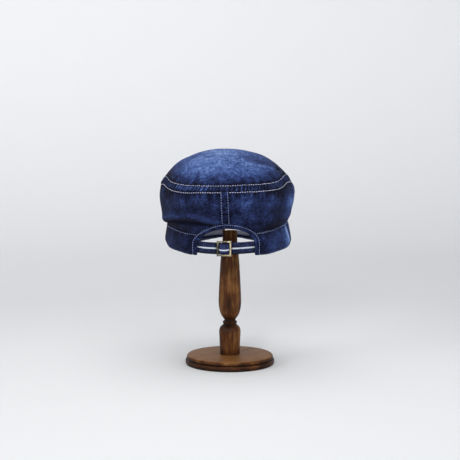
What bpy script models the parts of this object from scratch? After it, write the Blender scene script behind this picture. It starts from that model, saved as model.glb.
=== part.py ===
"""A soft work cap with a short bowed peak and a buckled back strap, held up by a plain turned wooden stand.

The middle of the stand's flat foot is the origin and the table is at height 0. The peak points to -Y, the
arch with the strap is at +Y, and the wearer's right is +X. All sizes are in metres.
"""

import math
from collections import namedtuple

import bmesh
import bpy
import numpy as np
from mathutils import Vector
from mathutils.bvhtree import BVHTree

# Gaps
SEAM_GAP = 0.0003
REST_GAP = 0.0003

# Cap: heights
RIM_HEIGHT = 0.1740
BAND_HEIGHT = 0.0343
SIDE_HEIGHT = 0.0564
WELT_HEIGHT = 0.0084
DOME_HEIGHT = 0.0463
CAP_TILT = 0.0130
BAND_SWEEP = 0.0090
FRONT_BOW = 0.0036
RIM_SAG = 0.0016

# Cap: plan sizes
HEAD_WIDTH = 0.1770
HEAD_LENGTH = 0.2000
BAND_FLARE = 0.0046
CROWN_PUFF_SIDES = 0.0112
CROWN_PUFF_ENDS = 0.0155
OVAL_POWER = 2.15
CAP_SHIFT = 0.0020
CROWN_LEAN = 0.0050
DOME_FORWARD = 0.0120
DOME_ROUNDNESS = 0.76
DOME_SHOULDER = 8

# Cap: cloth
CLOTH_WALL = 0.0020
SWEATBAND_WALL = 0.0012
SWEATBAND_HEIGHT = 0.0240
SWEATBAND_INSET = 0.0018
SEAM_STRIP_WIDTH = 0.0112
SEAM_STRIP_WALL = 0.0010
SEAM_STRIP_OFFSET = 0.0026
LABEL_WIDTH = 0.0233
LABEL_HEIGHT = 0.0180
LABEL_WALL = 0.0005
LABEL_OFFSET = -0.0101
LABEL_SHOWS = 0.0044
LABEL_SLANT = 0.04

# Arch in the back and the tape round it
ARCH_WIDTH = 0.0820
ARCH_SPRING = 0.0163
ARCH_RISE = 0.0220
ARCH_OFFSET = 0.0028
ARCH_POWER_LEFT = 1.65
ARCH_POWER_RIGHT = 2.0
BINDING_WIDTH = 0.0072
BINDING_PROUD = 0.0006

# Strap and buckle
STRAP_WIDTH = 0.0166
STRAP_WALL = 0.0010
STRAP_CENTRE = 0.0113
STRAP_SAG = 0.0018
STRAP_BOW = 0.0070
STRAP_TUCK = 0.0130
STRAP_TAIL = 0.0130
STRAP_EASE = 0.0035
BUCKLE_WIDTH = 0.0202
BUCKLE_HEIGHT = 0.0215
BUCKLE_BAR = 0.0021
BUCKLE_WALL = 0.0016
BUCKLE_OFFSET = 0.0029
BUCKLE_BAR_SET_BACK = 0.0010

# Peak
PEAK_DEPTH = 0.0560
PEAK_SPREAD = math.radians(57)
PEAK_WALL = 0.0030
PEAK_DROOP_MIDDLE = math.radians(5.5)
PEAK_DROOP_SIDES = math.radians(22)
PEAK_DROOP_POWER = 1.2
PEAK_FULLNESS = 0.75
PEAK_END_SHARE = 0.985

# Stand
BASE_DIAMETER = 0.1322
BASE_HEIGHT = 0.0140
LOWER_DIAMETER = 0.0320
LOWER_HEIGHT = 0.0454
RING_DIAMETER = 0.0213
RING_HEIGHT = 0.0061
UPPER_DIAMETER = 0.0336
REST_DIAMETER = 0.1000
REST_RISE = 0.0240
REST_HEIGHT = 0.0300

# Fineness of the meshes
CAP_COLUMNS = 60
BACK_CROWDING = 0.35
STAND_SIDES = 32

# How far each seam line rises at four places round the cap, in shares of CAP_TILT
Rise = namedtuple("Rise", "back left front right")
RISES = {
    "rim": Rise(0.00, 0.31, 0.10, 0.34),
    "seam": Rise(0.36, 0.10, 0.40, 0.45),
    "welt_low": Rise(0.00, 0.27, 1.00, 0.50),
    "welt_high": Rise(0.00, 0.45, 1.35, 0.60),
}

# Where the welt's two seams wander up the cloth: angle round the cap, its spread, and climb in metres
Wander = namedtuple("Wander", "angle wide climb")
WELT_WANDERS = {
    "welt_low": (
        Wander(math.radians(72), math.radians(13), 0.0053),
        Wander(math.radians(36), math.radians(12), -0.0010),
        Wander(math.radians(-70), math.radians(14), 0.0064),
    ),
    "welt_high": (
        Wander(math.radians(76), math.radians(15), 0.0030),
        Wander(math.radians(38), math.radians(12), -0.0008),
        Wander(math.radians(-16), math.radians(12), 0.0010),
        Wander(math.radians(-76), math.radians(19), 0.0038),
    ),
}

# How far the cloth stands out from the head oval, by share of a storey's height
Puff = namedtuple("Puff", "share out")
BAND_PUFFS = (Puff(0.00, 0.12), Puff(0.12, 0.66), Puff(0.30, 1.00), Puff(0.65, 0.60), Puff(1.00, 0.00))
SIDE_PUFFS = (
    Puff(0.00, 0.00),
    Puff(0.06, 0.18),
    Puff(0.20, 0.44),
    Puff(0.40, 0.69),
    Puff(0.62, 0.87),
    Puff(0.80, 1.00),
    Puff(0.92, 0.94),
    Puff(1.00, 0.78),
)
WELT_PUFFS = (Puff(0.00, 0.78), Puff(0.50, 0.46), Puff(1.00, 0.11))

# Main folds and hollows: angle round the cap, level, their spreads, and push as a share of the side puff
Fold = namedtuple("Fold", "angle level wide tall push")
FOLDS = (
    Fold(math.radians(48), 1.15, 0.50, 0.16, 0.28),
    Fold(math.radians(-60), 1.55, 0.40, 0.30, 0.10),
    Fold(math.radians(12), 1.45, 0.22, 0.30, -0.12),
    Fold(math.radians(-14), 1.40, 0.22, 0.30, -0.10),
    Fold(math.radians(-88), 2.15, 0.35, 0.22, -0.16),
    Fold(math.radians(88), 1.25, 0.55, 0.30, 0.12),
    Fold(math.radians(-92), 1.25, 0.50, 0.30, -0.08),
    Fold(math.radians(80), 1.92, 0.45, 0.18, -0.10),
    Fold(math.radians(140), 1.50, 0.35, 0.30, 0.08),
    Fold(math.radians(-150), 1.40, 0.30, 0.30, -0.08),
    Fold(math.radians(75), 0.45, 0.30, 0.40, -0.06),
    Fold(math.radians(-50), 0.40, 0.30, 0.40, 0.06),
)

# Turned profiles, from the top down: height and diameter as shares of the piece's own sizes
Turn = namedtuple("Turn", "height diameter")
BASE_PROFILE = (
    Turn(1.00, 0.000),
    Turn(1.00, 0.936),
    Turn(0.93, 0.958),
    Turn(0.80, 0.973),
    Turn(0.66, 0.970),
    Turn(0.60, 0.961),
    Turn(0.53, 0.991),
    Turn(0.36, 1.000),
    Turn(0.14, 0.996),
    Turn(0.00, 0.977),
    Turn(0.00, 0.000),
)
LOWER_PROFILE = (
    Turn(0.97, 0.690),
    Turn(0.92, 0.850),
    Turn(0.86, 0.945),
    Turn(0.79, 0.990),
    Turn(0.73, 1.000),
    Turn(0.60, 0.982),
    Turn(0.35, 0.950),
    Turn(0.00, 0.915),
)
RING_PROFILE = (
    Turn(1.00, 0.780),
    Turn(0.80, 0.880),
    Turn(0.62, 0.990),
    Turn(0.42, 1.000),
    Turn(0.22, 0.950),
    Turn(0.08, 0.895),
)
UPPER_PROFILE = (
    Turn(1.000, 0.565),
    Turn(0.710, 0.595),
    Turn(0.575, 0.637),
    Turn(0.510, 0.685),
    Turn(0.400, 0.827),
    Turn(0.350, 0.869),
    Turn(0.270, 0.930),
    Turn(0.190, 0.976),
    Turn(0.134, 1.000),
    Turn(0.100, 0.980),
    Turn(0.074, 0.930),
    Turn(0.048, 0.840),
    Turn(0.032, 0.745),
    Turn(0.018, 0.620),
    Turn(0.005, 0.500),
)
REST_STEPS = 8

# Levels on the cap's wall: band 0 to 1, side 1 to 2, welt 2 to 3, top panel 3 to 4
STOREYS = (
    ("rim", "seam", BAND_PUFFS),
    ("seam", "welt_low", SIDE_PUFFS),
    ("welt_low", "welt_high", WELT_PUFFS),
)
LINE_HEIGHTS = {
    "rim": RIM_HEIGHT,
    "seam": RIM_HEIGHT + BAND_HEIGHT,
    "welt_low": RIM_HEIGHT + BAND_HEIGHT + SIDE_HEIGHT,
    "welt_high": RIM_HEIGHT + BAND_HEIGHT + SIDE_HEIGHT + WELT_HEIGHT,
}
APEX_HEIGHT = LINE_HEIGHTS["welt_high"] + DOME_HEIGHT
SWEEP_ANGLE = math.radians(55)
BOW_ANGLE = math.radians(22)
SAG_PLACE = math.radians(36)
SAG_ANGLE = math.radians(11)

# How far up the cloth each level is, along a nominal meridian
WELT_SLANT = math.hypot(WELT_HEIGHT, (WELT_PUFFS[0].out - WELT_PUFFS[-1].out) * CROWN_PUFF_SIDES)
DOME_SLANT = math.hypot(HEAD_WIDTH / 2, DOME_HEIGHT)
LEVELS = (0, 1, 2, 3, 4)
CLIMBS = np.cumsum((0.0, BAND_HEIGHT, SIDE_HEIGHT, WELT_SLANT, DOME_SLANT))

# Reach of the differences from which the cloth's normals are taken
REACH = 0.0015


def clear_scene():
    for item in list(bpy.data.objects):
        bpy.data.objects.remove(item, do_unlink=True)


def material(name, colour, roughness, metallic=0.0):
    made = bpy.data.materials.new(name)
    made.use_nodes = True
    shader = made.node_tree.nodes["Principled BSDF"]
    shader.inputs["Base Color"].default_value = (*colour, 1.0)
    shader.inputs["Roughness"].default_value = roughness
    shader.inputs["Metallic"].default_value = metallic
    made.diffuse_color = (*colour, 1.0)
    return made


def smooth_between(rows, share):
    """The rows' second column at a share of their first, on a smooth curve through all rows."""
    last = len(rows) - 2
    index = next((i for i in range(last) if share < rows[i + 1][0]), last)
    before, start, end, after = (rows[max(0, min(i, last + 1))] for i in range(index - 1, index + 3))
    span = end[0] - start[0]
    slope_in = (end[1] - before[1]) / (end[0] - before[0]) * span
    slope_out = (after[1] - start[1]) / (after[0] - start[0]) * span
    t = (share - start[0]) / span
    return (
        (2 * t**3 - 3 * t**2 + 1) * start[1]
        + (t**3 - 2 * t**2 + t) * slope_in
        + (3 * t**2 - 2 * t**3) * end[1]
        + (t**3 - t**2) * slope_out
    )


def wrapped(angle):
    """The angle brought between -180 and 180 degrees. 0 is the middle of the back, +90 degrees is +X."""
    return (angle + math.pi) % (2 * math.pi) - math.pi


def line_height(name, angle):
    """Height of a seam line of the cap at an angle round it."""
    rise = RISES[name]
    share = sum(rise) / 4
    share += (rise.back - rise.front) / 2 * math.cos(angle)
    share += (rise.left - rise.right) / 2 * math.sin(angle)
    share += (rise.back + rise.front - rise.left - rise.right) / 4 * math.cos(2 * angle)
    height = LINE_HEIGHTS[name] + CAP_TILT * share
    if name == "seam":
        height -= BAND_SWEEP * math.exp(-((wrapped(angle) / SWEEP_ANGLE) ** 4))
    if name == "rim":
        height += FRONT_BOW * math.exp(-((wrapped(angle + math.pi) / BOW_ANGLE) ** 2))
        height -= RIM_SAG * math.exp(-(((abs(wrapped(angle)) - SAG_PLACE) / SAG_ANGLE) ** 2))
    return height


def fold_push(angle, level):
    """How far the folds push the wall out here, in metres."""
    push = 0.0
    for fold in FOLDS:
        across = wrapped(angle - fold.angle) / fold.wide
        up = (level - fold.level) / fold.tall
        push += fold.push * math.exp(-(across**2) - up**2)
    return push * CROWN_PUFF_SIDES


def oval_reach(angle):
    """Unit oval of the head: how far it goes along X and along Y at an angle."""
    sine, cosine = math.sin(angle), math.cos(angle)
    power = 2 / OVAL_POWER
    return math.copysign(abs(sine) ** power, sine), math.copysign(abs(cosine) ** power, cosine)


def half_sizes(angle, level):
    """Half width and half length of the cap's wall at a level."""
    storey = min(int(level), 2)
    out = smooth_between(STOREYS[storey][2], min(level, 3.0) - storey)
    push = fold_push(angle, level)
    if storey == 0:
        return HEAD_WIDTH / 2 + out * BAND_FLARE + push, HEAD_LENGTH / 2 + out * BAND_FLARE + push
    return HEAD_WIDTH / 2 + out * CROWN_PUFF_SIDES + push, HEAD_LENGTH / 2 + out * CROWN_PUFF_ENDS + push


def centre_x(height):
    """The cap leans a little to one side as it goes up."""
    return CAP_SHIFT + CROWN_LEAN * (height - RIM_HEIGHT) / (APEX_HEIGHT - RIM_HEIGHT)


def wall_height(angle, level):
    storey = min(int(level), 2)
    low, high, _ = STOREYS[storey]
    share = level - storey
    return (1 - share) * line_height(low, angle) + share * line_height(high, angle)


def dome_surface(angle, level):
    """The top panel: rings that shrink from the welt to the apex on a full curve."""
    spread = 4 - level
    rise = 1 - DOME_ROUNDNESS * spread**2 - (1 - DOME_ROUNDNESS) * spread**DOME_SHOULDER
    half_width, half_length = half_sizes(angle, 3.0)
    along_x, along_y = oval_reach(angle)
    edge = line_height("welt_high", angle)
    height = (1 - rise) * edge + rise * APEX_HEIGHT
    x = spread * half_width * along_x + centre_x(height)
    y = spread * half_length * along_y - (1 - spread) * DOME_FORWARD
    return Vector((x, y, height))


def cap_surface(angle, level):
    """A point on the outside of the cap."""
    if level > 3:
        return dome_surface(angle, level)
    half_width, half_length = half_sizes(angle, level)
    along_x, along_y = oval_reach(angle)
    height = wall_height(angle, level)
    return Vector((half_width * along_x + centre_x(height), half_length * along_y, height))


def climbed(level, distance):
    """The level that lies a distance up the cloth from a level, or down it if negative."""
    return float(np.interp(np.interp(level, LEVELS, CLIMBS) + distance, CLIMBS, LEVELS))


def welt_edge(name, angle, gap):
    """Level of the welt's lower or upper seam at an angle, moved up the cloth by a gap."""
    climb = gap
    for wander in WELT_WANDERS[name]:
        climb += wander.climb * math.exp(-((wrapped(angle - wander.angle) / wander.wide) ** 2))
    return climbed({"welt_low": 2.0, "welt_high": 3.0}[name], climb)


def cap_point(angle, level, depth=0.0):
    """A point at a depth under the outside of the cap."""
    turn = 2 * REACH / HEAD_WIDTH
    across = cap_surface(angle + turn, level) - cap_surface(angle - turn, level)
    up = cap_surface(angle, climbed(level, REACH)) - cap_surface(angle, climbed(level, -REACH))
    normal = up.cross(across)
    normal = normal.normalized() if level < 4 else Vector((0, 0, 1))
    return cap_surface(angle, level) - depth * normal


def angle_at(x, level):
    """The angle on the back half at which the wall at this level has this x."""
    angle = 0.0
    for _ in range(4):
        share = (x - centre_x(wall_height(angle, level))) / half_sizes(angle, level)[0]
        angle = math.asin(math.copysign(min(1.0, abs(share)) ** (OVAL_POWER / 2), share))
    return angle


def level_at(height, angle):
    """The level at which the wall has this height at this angle, on the band or the side."""
    rim, seam, welt = (line_height(name, angle) for name in ("rim", "seam", "welt_low"))
    if height < seam:
        return max(0.0, (height - rim) / (seam - rim))
    return 1 + (height - seam) / (welt - seam)


def back_place(x, height):
    """Angle and level of the wall at a place on the back given by its x and height."""
    angle = 0.0
    for _ in range(5):
        level = level_at(height, angle)
        angle = angle_at(x, level)
    return angle, level_at(height, angle)


def back_point(x, height, depth=0.0):
    return cap_point(*back_place(x, height), depth)


ARCH_FOOT = line_height("rim", 0.0)
ARCH_SPRING_HEIGHT = ARCH_FOOT + ARCH_SPRING
ARCH_TOP = ARCH_SPRING_HEIGHT + ARCH_RISE
ARCH_X = centre_x(ARCH_SPRING_HEIGHT) + ARCH_OFFSET


def arch_power(side):
    """The arch is an oval on its -X side and leaner on its +X side."""
    return ARCH_POWER_LEFT if side > 0 else ARCH_POWER_RIGHT


def arch_half_width(height, side, margin):
    """How far the arch reaches at a height on the side +1 or -1, with its edge moved out by a margin."""
    power = arch_power(side)
    share = max(0.0, (height - ARCH_SPRING_HEIGHT) / (ARCH_RISE + margin))
    return (ARCH_WIDTH / 2 + margin) * max(0.0, 1 - share**power) ** (1 / power)


def arch_height(x, margin):
    """Height of the arch's edge at x with a margin, or None beside the arch."""
    power = arch_power(x - ARCH_X)
    share = abs(x - ARCH_X) / (ARCH_WIDTH / 2 + margin)
    if share >= 1:
        return None
    return ARCH_SPRING_HEIGHT + (ARCH_RISE + margin) * (1 - share**power) ** (1 / power)


def new_object(name, mesh, surface_material, collection):
    made = bpy.data.objects.new(name, mesh)
    made.data.materials.clear()
    made.data.materials.append(surface_material)
    collection.objects.link(made)
    return made


def mesh_from(name, shape):
    """A mesh from a bmesh, with doubles merged and faces turned outwards."""
    bmesh.ops.remove_doubles(shape, verts=shape.verts, dist=1e-6)
    bmesh.ops.recalc_face_normals(shape, faces=shape.faces)
    mesh = bpy.data.meshes.new(name)
    shape.to_mesh(mesh)
    shape.free()
    mesh.shade_smooth()
    mesh.set_sharp_from_angle(angle=math.radians(40))
    return mesh


def loft(name, sections, closed_path=False):
    """A solid through sections of equal point counts, with its ends capped unless its path is closed."""
    shape = bmesh.new()
    rings = [[shape.verts.new(point) for point in section] for section in sections]
    count = len(rings[0])
    pairs = list(zip(rings, rings[1:]))
    if closed_path:
        pairs.append((rings[-1], rings[0]))
    for first, second in pairs:
        for i in range(count):
            j = (i + 1) % count
            shape.faces.new((first[i], first[j], second[j], second[i]))
    if not closed_path:
        shape.faces.new(rings[0])
        shape.faces.new(reversed(rings[-1]))
    return mesh_from(name, shape)


def wall_of_cloth(name, point, rows, near, far, closed=False, apex=False):
    """A wall between two depths of a surface, through rows of places from edge to edge or to an apex."""
    shape = bmesh.new()
    outer = [[shape.verts.new(point(*place, near)) for place in row] for row in rows]
    inner = [[shape.verts.new(point(*place, far)) for place in row] for row in rows]
    columns = len(rows[0])
    last = columns if closed else columns - 1
    for skin in (outer, inner):
        for low, high in zip(skin, skin[1:]):
            for i in range(last):
                j = (i + 1) % columns
                shape.faces.new((low[i], low[j], high[j], high[i]))
    for edge in (0,) if apex else (0, -1):
        for i in range(last):
            j = (i + 1) % columns
            shape.faces.new((outer[edge][i], outer[edge][j], inner[edge][j], inner[edge][i]))
    if not closed:
        for side in (0, -1):
            for k in range(len(rows) - 1):
                shape.faces.new((outer[k][side], outer[k + 1][side], inner[k + 1][side], inner[k][side]))
    return mesh_from(name, shape)


def spaced(start, end, count):
    """Evenly spaced values from start to end, both included."""
    return [start + (end - start) * i / (count - 1) for i in range(count)]


def ring_angles():
    """Angles round the cap, closer together at the back, where the arch is."""
    turns = [2 * math.pi * i / CAP_COLUMNS for i in range(CAP_COLUMNS)]
    return [turn - BACK_CROWDING * math.sin(turn) for turn in turns]


def make_top(collection, cloth):
    edge = [(a, welt_edge("welt_high", a, SEAM_GAP / 2)) for a in ring_angles()]
    rows = []
    for share in (0.0, 0.04, 0.09, 0.16, 0.25, 0.36, 0.49, 0.64, 0.82, 1.0):
        rows.append([(a, low + (4.0 - low) * share) for a, low in edge])
    mesh = wall_of_cloth("crown_top", cap_point, rows, 0.0, CLOTH_WALL, closed=True, apex=True)
    return new_object("crown_top", mesh, cloth, collection)


def make_welt(collection, cloth):
    rows = []
    for share in (0.0, 0.5, 1.0):
        row = []
        for a in ring_angles():
            low, high = welt_edge("welt_low", a, SEAM_GAP / 2), welt_edge("welt_high", a, -SEAM_GAP / 2)
            row.append((a, low + (high - low) * share))
        rows.append(row)
    mesh = wall_of_cloth("crown_welt", cap_point, rows, 0.0, CLOTH_WALL, closed=True)
    return new_object("crown_welt", mesh, cloth, collection)


def side_lower_level(angle):
    """Where the side panel starts: at the band seam, or over the arch at its binding."""
    seam_level = climbed(1.0, SEAM_GAP / 2)
    if math.cos(angle) < 0.5:
        return seam_level
    level = seam_level
    for _ in range(4):
        height = arch_height(cap_surface(angle, level).x, BINDING_WIDTH + 1.5 * SEAM_GAP)
        level = seam_level if height is None else max(seam_level, level_at(height, angle))
    return level


def make_side(collection, cloth):
    edges = [(a, side_lower_level(a), welt_edge("welt_low", a, -SEAM_GAP / 2)) for a in ring_angles()]
    rows = []
    for share in (0.0, 0.07, 0.2, 0.38, 0.58, 0.76, 0.88, 0.95, 1.0):
        rows.append([(a, low + (high - low) * share) for a, low, high in edges])
    mesh = wall_of_cloth("crown_side", cap_point, rows, 0.0, CLOTH_WALL, closed=True)
    return new_object("crown_side", mesh, cloth, collection)


def arch_side_angle(level, side, margin):
    """Angle of the arch's edge at a level, on the side +1 or -1."""
    angle = 0.0
    for _ in range(6):
        half_width = arch_half_width(wall_height(angle, level), side, margin)
        angle = angle_at(ARCH_X + side * half_width, level)
    return angle


def make_band(collection, cloth):
    top = climbed(1.0, -SEAM_GAP / 2)
    rows = []
    for level in (0.0, 0.12, 0.30, 0.50, 0.70, 0.84, 0.93, top):
        start = arch_side_angle(level, 1, BINDING_WIDTH + 1.5 * SEAM_GAP)
        end = arch_side_angle(level, -1, BINDING_WIDTH + 1.5 * SEAM_GAP) + 2 * math.pi
        rows.append([(a, level) for a in spaced(start, end, CAP_COLUMNS - 8)])
    mesh = wall_of_cloth("band", cap_point, rows, 0.0, CLOTH_WALL)
    return new_object("band", mesh, cloth, collection)


def make_sweatband(collection, tape):
    """A tape round the inside of the band that ends beside the strap's sewn ends."""
    reach = ARCH_WIDTH / 2 + STRAP_TUCK + 4 * SEAM_GAP
    start = angle_at(ARCH_X + reach, 0.5)
    end = angle_at(ARCH_X - reach, 0.5) + 2 * math.pi
    angles = spaced(start, end, CAP_COLUMNS - 16)
    rows = []
    for share in (0.0, 0.5, 1.0):
        rise = SWEATBAND_INSET + share * SWEATBAND_HEIGHT
        rows.append([(a, level_at(line_height("rim", a) + rise, a)) for a in angles])
    near = CLOTH_WALL + SEAM_GAP
    mesh = wall_of_cloth("sweatband", cap_point, rows, near, near + SWEATBAND_WALL)
    return new_object("sweatband", mesh, tape, collection)


def arch_stations():
    """Places along the arch, each the outward direction of its edge and its spring point."""
    foot = -ARCH_SPRING
    stations = [(0.0, rise) for rise in (foot, foot * 0.66, foot * 0.33)]
    stations += [(turn, 0.0) for turn in spaced(0.0, math.pi, 21)]
    stations += [(math.pi, rise) for rise in (foot * 0.33, foot * 0.66, foot)]
    return stations


def arch_place(turn, drop, margin):
    """x and height of a point beside the arch's edge, at a turn round the arc and a drop down its leg."""
    share = 2 / arch_power(math.cos(turn))
    x = ARCH_X + (ARCH_WIDTH / 2 + margin) * math.copysign(abs(math.cos(turn)) ** share, math.cos(turn))
    return x, ARCH_SPRING_HEIGHT + drop + (ARCH_RISE + margin) * math.sin(turn) ** share


def make_binding(collection, cloth):
    """Folded tape round the arch: a flat section with a rounded fold at the arch's edge."""
    front, back = -BINDING_PROUD, CLOTH_WALL + BINDING_PROUD
    fold = (back - front) / 4
    section = (
        (BINDING_WIDTH, front),
        (fold, front),
        (0.0, front + fold),
        (0.0, back - fold),
        (fold, back),
        (BINDING_WIDTH, back),
    )
    rings = []
    for turn, drop in arch_stations():
        rings.append([back_point(*arch_place(turn, drop, margin), depth) for margin, depth in section])
    return new_object("arch_binding", loft("arch_binding", rings), cloth, collection)


def make_back_seam(collection, cloth):
    """The felled strip down the middle of the back, from the welt to the arch's binding."""
    columns = spaced(-SEAM_STRIP_WIDTH / 2, SEAM_STRIP_WIDTH / 2, 4)
    rows = []
    for share in spaced(0.0, 1.0, 7):
        row = []
        for column in columns:
            x = centre_x(LINE_HEIGHTS["seam"]) + SEAM_STRIP_OFFSET + column
            x += CROWN_LEAN * SIDE_HEIGHT / (APEX_HEIGHT - RIM_HEIGHT) * share
            low = arch_height(x, BINDING_WIDTH + 2 * SEAM_GAP)
            high = line_height("welt_low", 0.0) - 2 * SEAM_GAP
            row.append(back_place(x, low + (high - low) * share))
        rows.append(row)
    far = -3 * SEAM_GAP
    mesh = wall_of_cloth("back_seam", cap_point, rows, far - SEAM_STRIP_WALL, far)
    return new_object("back_seam", mesh, cloth, collection)


def make_label(collection, tape):
    """A plain tab that hangs inside the back wall, a little askew, and just shows under the arch's edge."""
    near = CLOTH_WALL + BINDING_PROUD + SEAM_GAP
    columns = spaced(-LABEL_WIDTH / 2, LABEL_WIDTH / 2, 4)
    rows = []
    for rise in spaced(0.0, LABEL_HEIGHT, 3):
        low = ARCH_TOP - LABEL_SHOWS + rise
        rows.append([back_place(ARCH_X + LABEL_OFFSET + x, low + LABEL_SLANT * x) for x in columns])
    mesh = wall_of_cloth("inner_label", cap_point, rows, near, near + LABEL_WALL)
    return new_object("inner_label", mesh, tape, collection)


def strap_inside(x):
    """Where the upright strap clears the inside of the wall at x, whatever the wall's curve up its height."""
    depth = CLOTH_WALL + BINDING_PROUD + SEAM_GAP + STRAP_WALL / 2
    height = ARCH_FOOT + STRAP_CENTRE
    places = [back_point(x, h, depth) for h in (ARCH_FOOT, height, height + STRAP_WIDTH / 2)]
    inmost = min(places, key=lambda place: place.y)
    return Vector((inmost.x, inmost.y, height))


def strap_line(x):
    """Middle of the strap at x: inside the wall beside the arch, and bowed out across it."""
    share = (x - ARCH_X) / (ARCH_WIDTH / 2)
    if abs(share) >= 1:
        return strap_inside(x)
    left, right = (strap_inside(ARCH_X + side * ARCH_WIDTH / 2) for side in (1, -1))
    straight = right.lerp(left, (share + 1) / 2)
    rise = 1 - share**2
    return Vector((x, straight.y + STRAP_BOW * rise, straight.z - STRAP_SAG * rise))


def strap_normal(x):
    """Level direction out of the strap's face at x."""
    along = strap_line(x + REACH) - strap_line(x - REACH)
    return Vector((-along.y, along.x, 0)).normalized()


def ribbon(name, stops):
    """A strap through stops, each an x and a lift out of the strap's line."""
    points = [strap_line(x) + lift * strap_normal(x) for x, lift in stops]
    rings = []
    for i, point in enumerate(points):
        along = points[min(i + 1, len(points) - 1)] - points[max(i - 1, 0)]
        across = Vector((-along.y, along.x, 0)).normalized() * STRAP_WALL / 2
        up = Vector((0, 0, STRAP_WIDTH / 2))
        rings.append([point - across - up, point + across - up, point + across + up, point - across + up])
    return loft(name, rings)


BUCKLE_X = ARCH_X + BUCKLE_OFFSET
STRAP_PITCH = STRAP_WALL + SEAM_GAP
# The middle bar's front and back faces, and the side bars' back face, as lifts from the buckle's plane
BAR_FRONT = BUCKLE_WALL / 2 - BUCKLE_BAR_SET_BACK
BAR_BACK = -BUCKLE_WALL / 2 - BUCKLE_BAR_SET_BACK
UNDER_SIDE_BAR = -BUCKLE_WALL / 2 - SEAM_GAP - STRAP_WALL / 2
BAR_RADIUS = BUCKLE_BAR / 2 + SEAM_GAP + STRAP_WALL / 2


def make_strap_left(collection, cloth):
    """The adjustable strap: under the side bars and over the middle bar, with a short free tail."""
    side_bar = BUCKLE_WIDTH / 2 - BUCKLE_BAR / 2
    over = BAR_FRONT + 1.5 * STRAP_WALL + 2 * SEAM_GAP
    sewn_end = ARCH_X + ARCH_WIDTH / 2 + STRAP_TUCK
    edge = ARCH_X + ARCH_WIDTH / 2
    stops = [(x, 0.0) for x in spaced(sewn_end, edge, 4)]
    stops += [(edge + (BUCKLE_X - edge) * share, 0.0) for share in (0.15, 0.3, 0.45)]
    stops += [(BUCKLE_X + side_bar * 1.35, UNDER_SIDE_BAR), (BUCKLE_X + side_bar * 0.85, UNDER_SIDE_BAR)]
    stops += [(BUCKLE_X + side_bar * share, over * lift) for share, lift in ((0.45, 0.45), (0.22, 1.0))]
    stops += [(BUCKLE_X - side_bar * share, over * lift) for share, lift in ((0.22, 1.0), (0.45, 0.45))]
    stops += [(BUCKLE_X - side_bar * 0.85, UNDER_SIDE_BAR), (BUCKLE_X - side_bar * 1.35, UNDER_SIDE_BAR)]
    stops += [(BUCKLE_X - side_bar - STRAP_TAIL, UNDER_SIDE_BAR)]
    return new_object("strap_left", ribbon("strap_left", stops), cloth, collection)


def make_strap_right(collection, cloth):
    """The fixed strap: from the band to the buckle, looped round the middle bar and back on itself."""
    side_bar = BUCKLE_WIDTH / 2 - BUCKLE_BAR / 2
    under = UNDER_SIDE_BAR - STRAP_PITCH
    sewn_end = ARCH_X - ARCH_WIDTH / 2 - STRAP_TUCK
    edge = ARCH_X - ARCH_WIDTH / 2
    over = BAR_FRONT + SEAM_GAP + STRAP_WALL / 2
    behind = BAR_BACK - SEAM_GAP - STRAP_WALL / 2
    turn = BAR_RADIUS - BUCKLE_BAR / 2
    round_corner = turn * math.sqrt(0.5)
    corner = BUCKLE_X + BUCKLE_BAR / 2
    tail = BUCKLE_X - side_bar - STRAP_TAIL
    stops = [(x, 0.0) for x in spaced(sewn_end, edge, 4)]
    stops += [(tail - STRAP_EASE, under / 2), (tail, under), (BUCKLE_X - side_bar, under)]
    stops += [(BUCKLE_X - side_bar * 0.77, under * 0.93), (BUCKLE_X - side_bar * 0.5, under / 2)]
    stops += [(BUCKLE_X - BUCKLE_BAR / 2, over), (corner, over)]
    stops += [(corner + round_corner, BAR_FRONT + round_corner), (corner + turn, BAR_FRONT)]
    stops += [(corner + turn, BAR_BACK), (corner + round_corner, BAR_BACK - round_corner)]
    stops += [(corner, behind), (BUCKLE_X - BUCKLE_BAR / 2, behind)]
    stops += [(BUCKLE_X - side_bar * 0.6, under - STRAP_PITCH * 1.1)]
    stops += [(BUCKLE_X - side_bar - STRAP_TAIL * 0.8, under - STRAP_PITCH * 1.1)]
    return new_object("strap_right", ribbon("strap_right", stops), cloth, collection)


def box(name, size, collection):
    shape = bmesh.new()
    bmesh.ops.create_cube(shape, size=1.0)
    bmesh.ops.scale(shape, vec=Vector(size), verts=shape.verts)
    mesh = bpy.data.meshes.new(name)
    shape.to_mesh(mesh)
    shape.free()
    made = bpy.data.objects.new(name, mesh)
    collection.objects.link(made)
    return made


def make_buckle(collection, cutters, brass):
    """A thin rectangular frame with a middle bar set a little behind it."""
    place = strap_line(BUCKLE_X)
    normal = strap_normal(BUCKLE_X)
    turn = math.atan2(normal.y, normal.x) - math.pi / 2
    frame = box("buckle", (BUCKLE_WIDTH, BUCKLE_WALL, BUCKLE_HEIGHT), collection)
    window_size = (BUCKLE_WIDTH - 2 * BUCKLE_BAR, 4 * BUCKLE_WALL, BUCKLE_HEIGHT - 2 * BUCKLE_BAR)
    window = box("buckle_window", window_size, cutters)
    bar = box("buckle_middle_bar", (BUCKLE_BAR, BUCKLE_WALL, BUCKLE_HEIGHT - BUCKLE_BAR), cutters)
    bar_place = place - BUCKLE_BAR_SET_BACK * normal
    for item, where in ((frame, place), (window, place), (bar, bar_place)):
        item.location = where
        item.rotation_euler = (0, 0, turn)
    for helper in (window, bar):
        helper.hide_render = True
        helper.display_type = "WIRE"
    cut = frame.modifiers.new("window", "BOOLEAN")
    cut.operation = "DIFFERENCE"
    cut.object = window
    join = frame.modifiers.new("middle_bar", "BOOLEAN")
    join.operation = "UNION"
    join.object = bar
    frame.data.materials.append(brass)
    return frame


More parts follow.
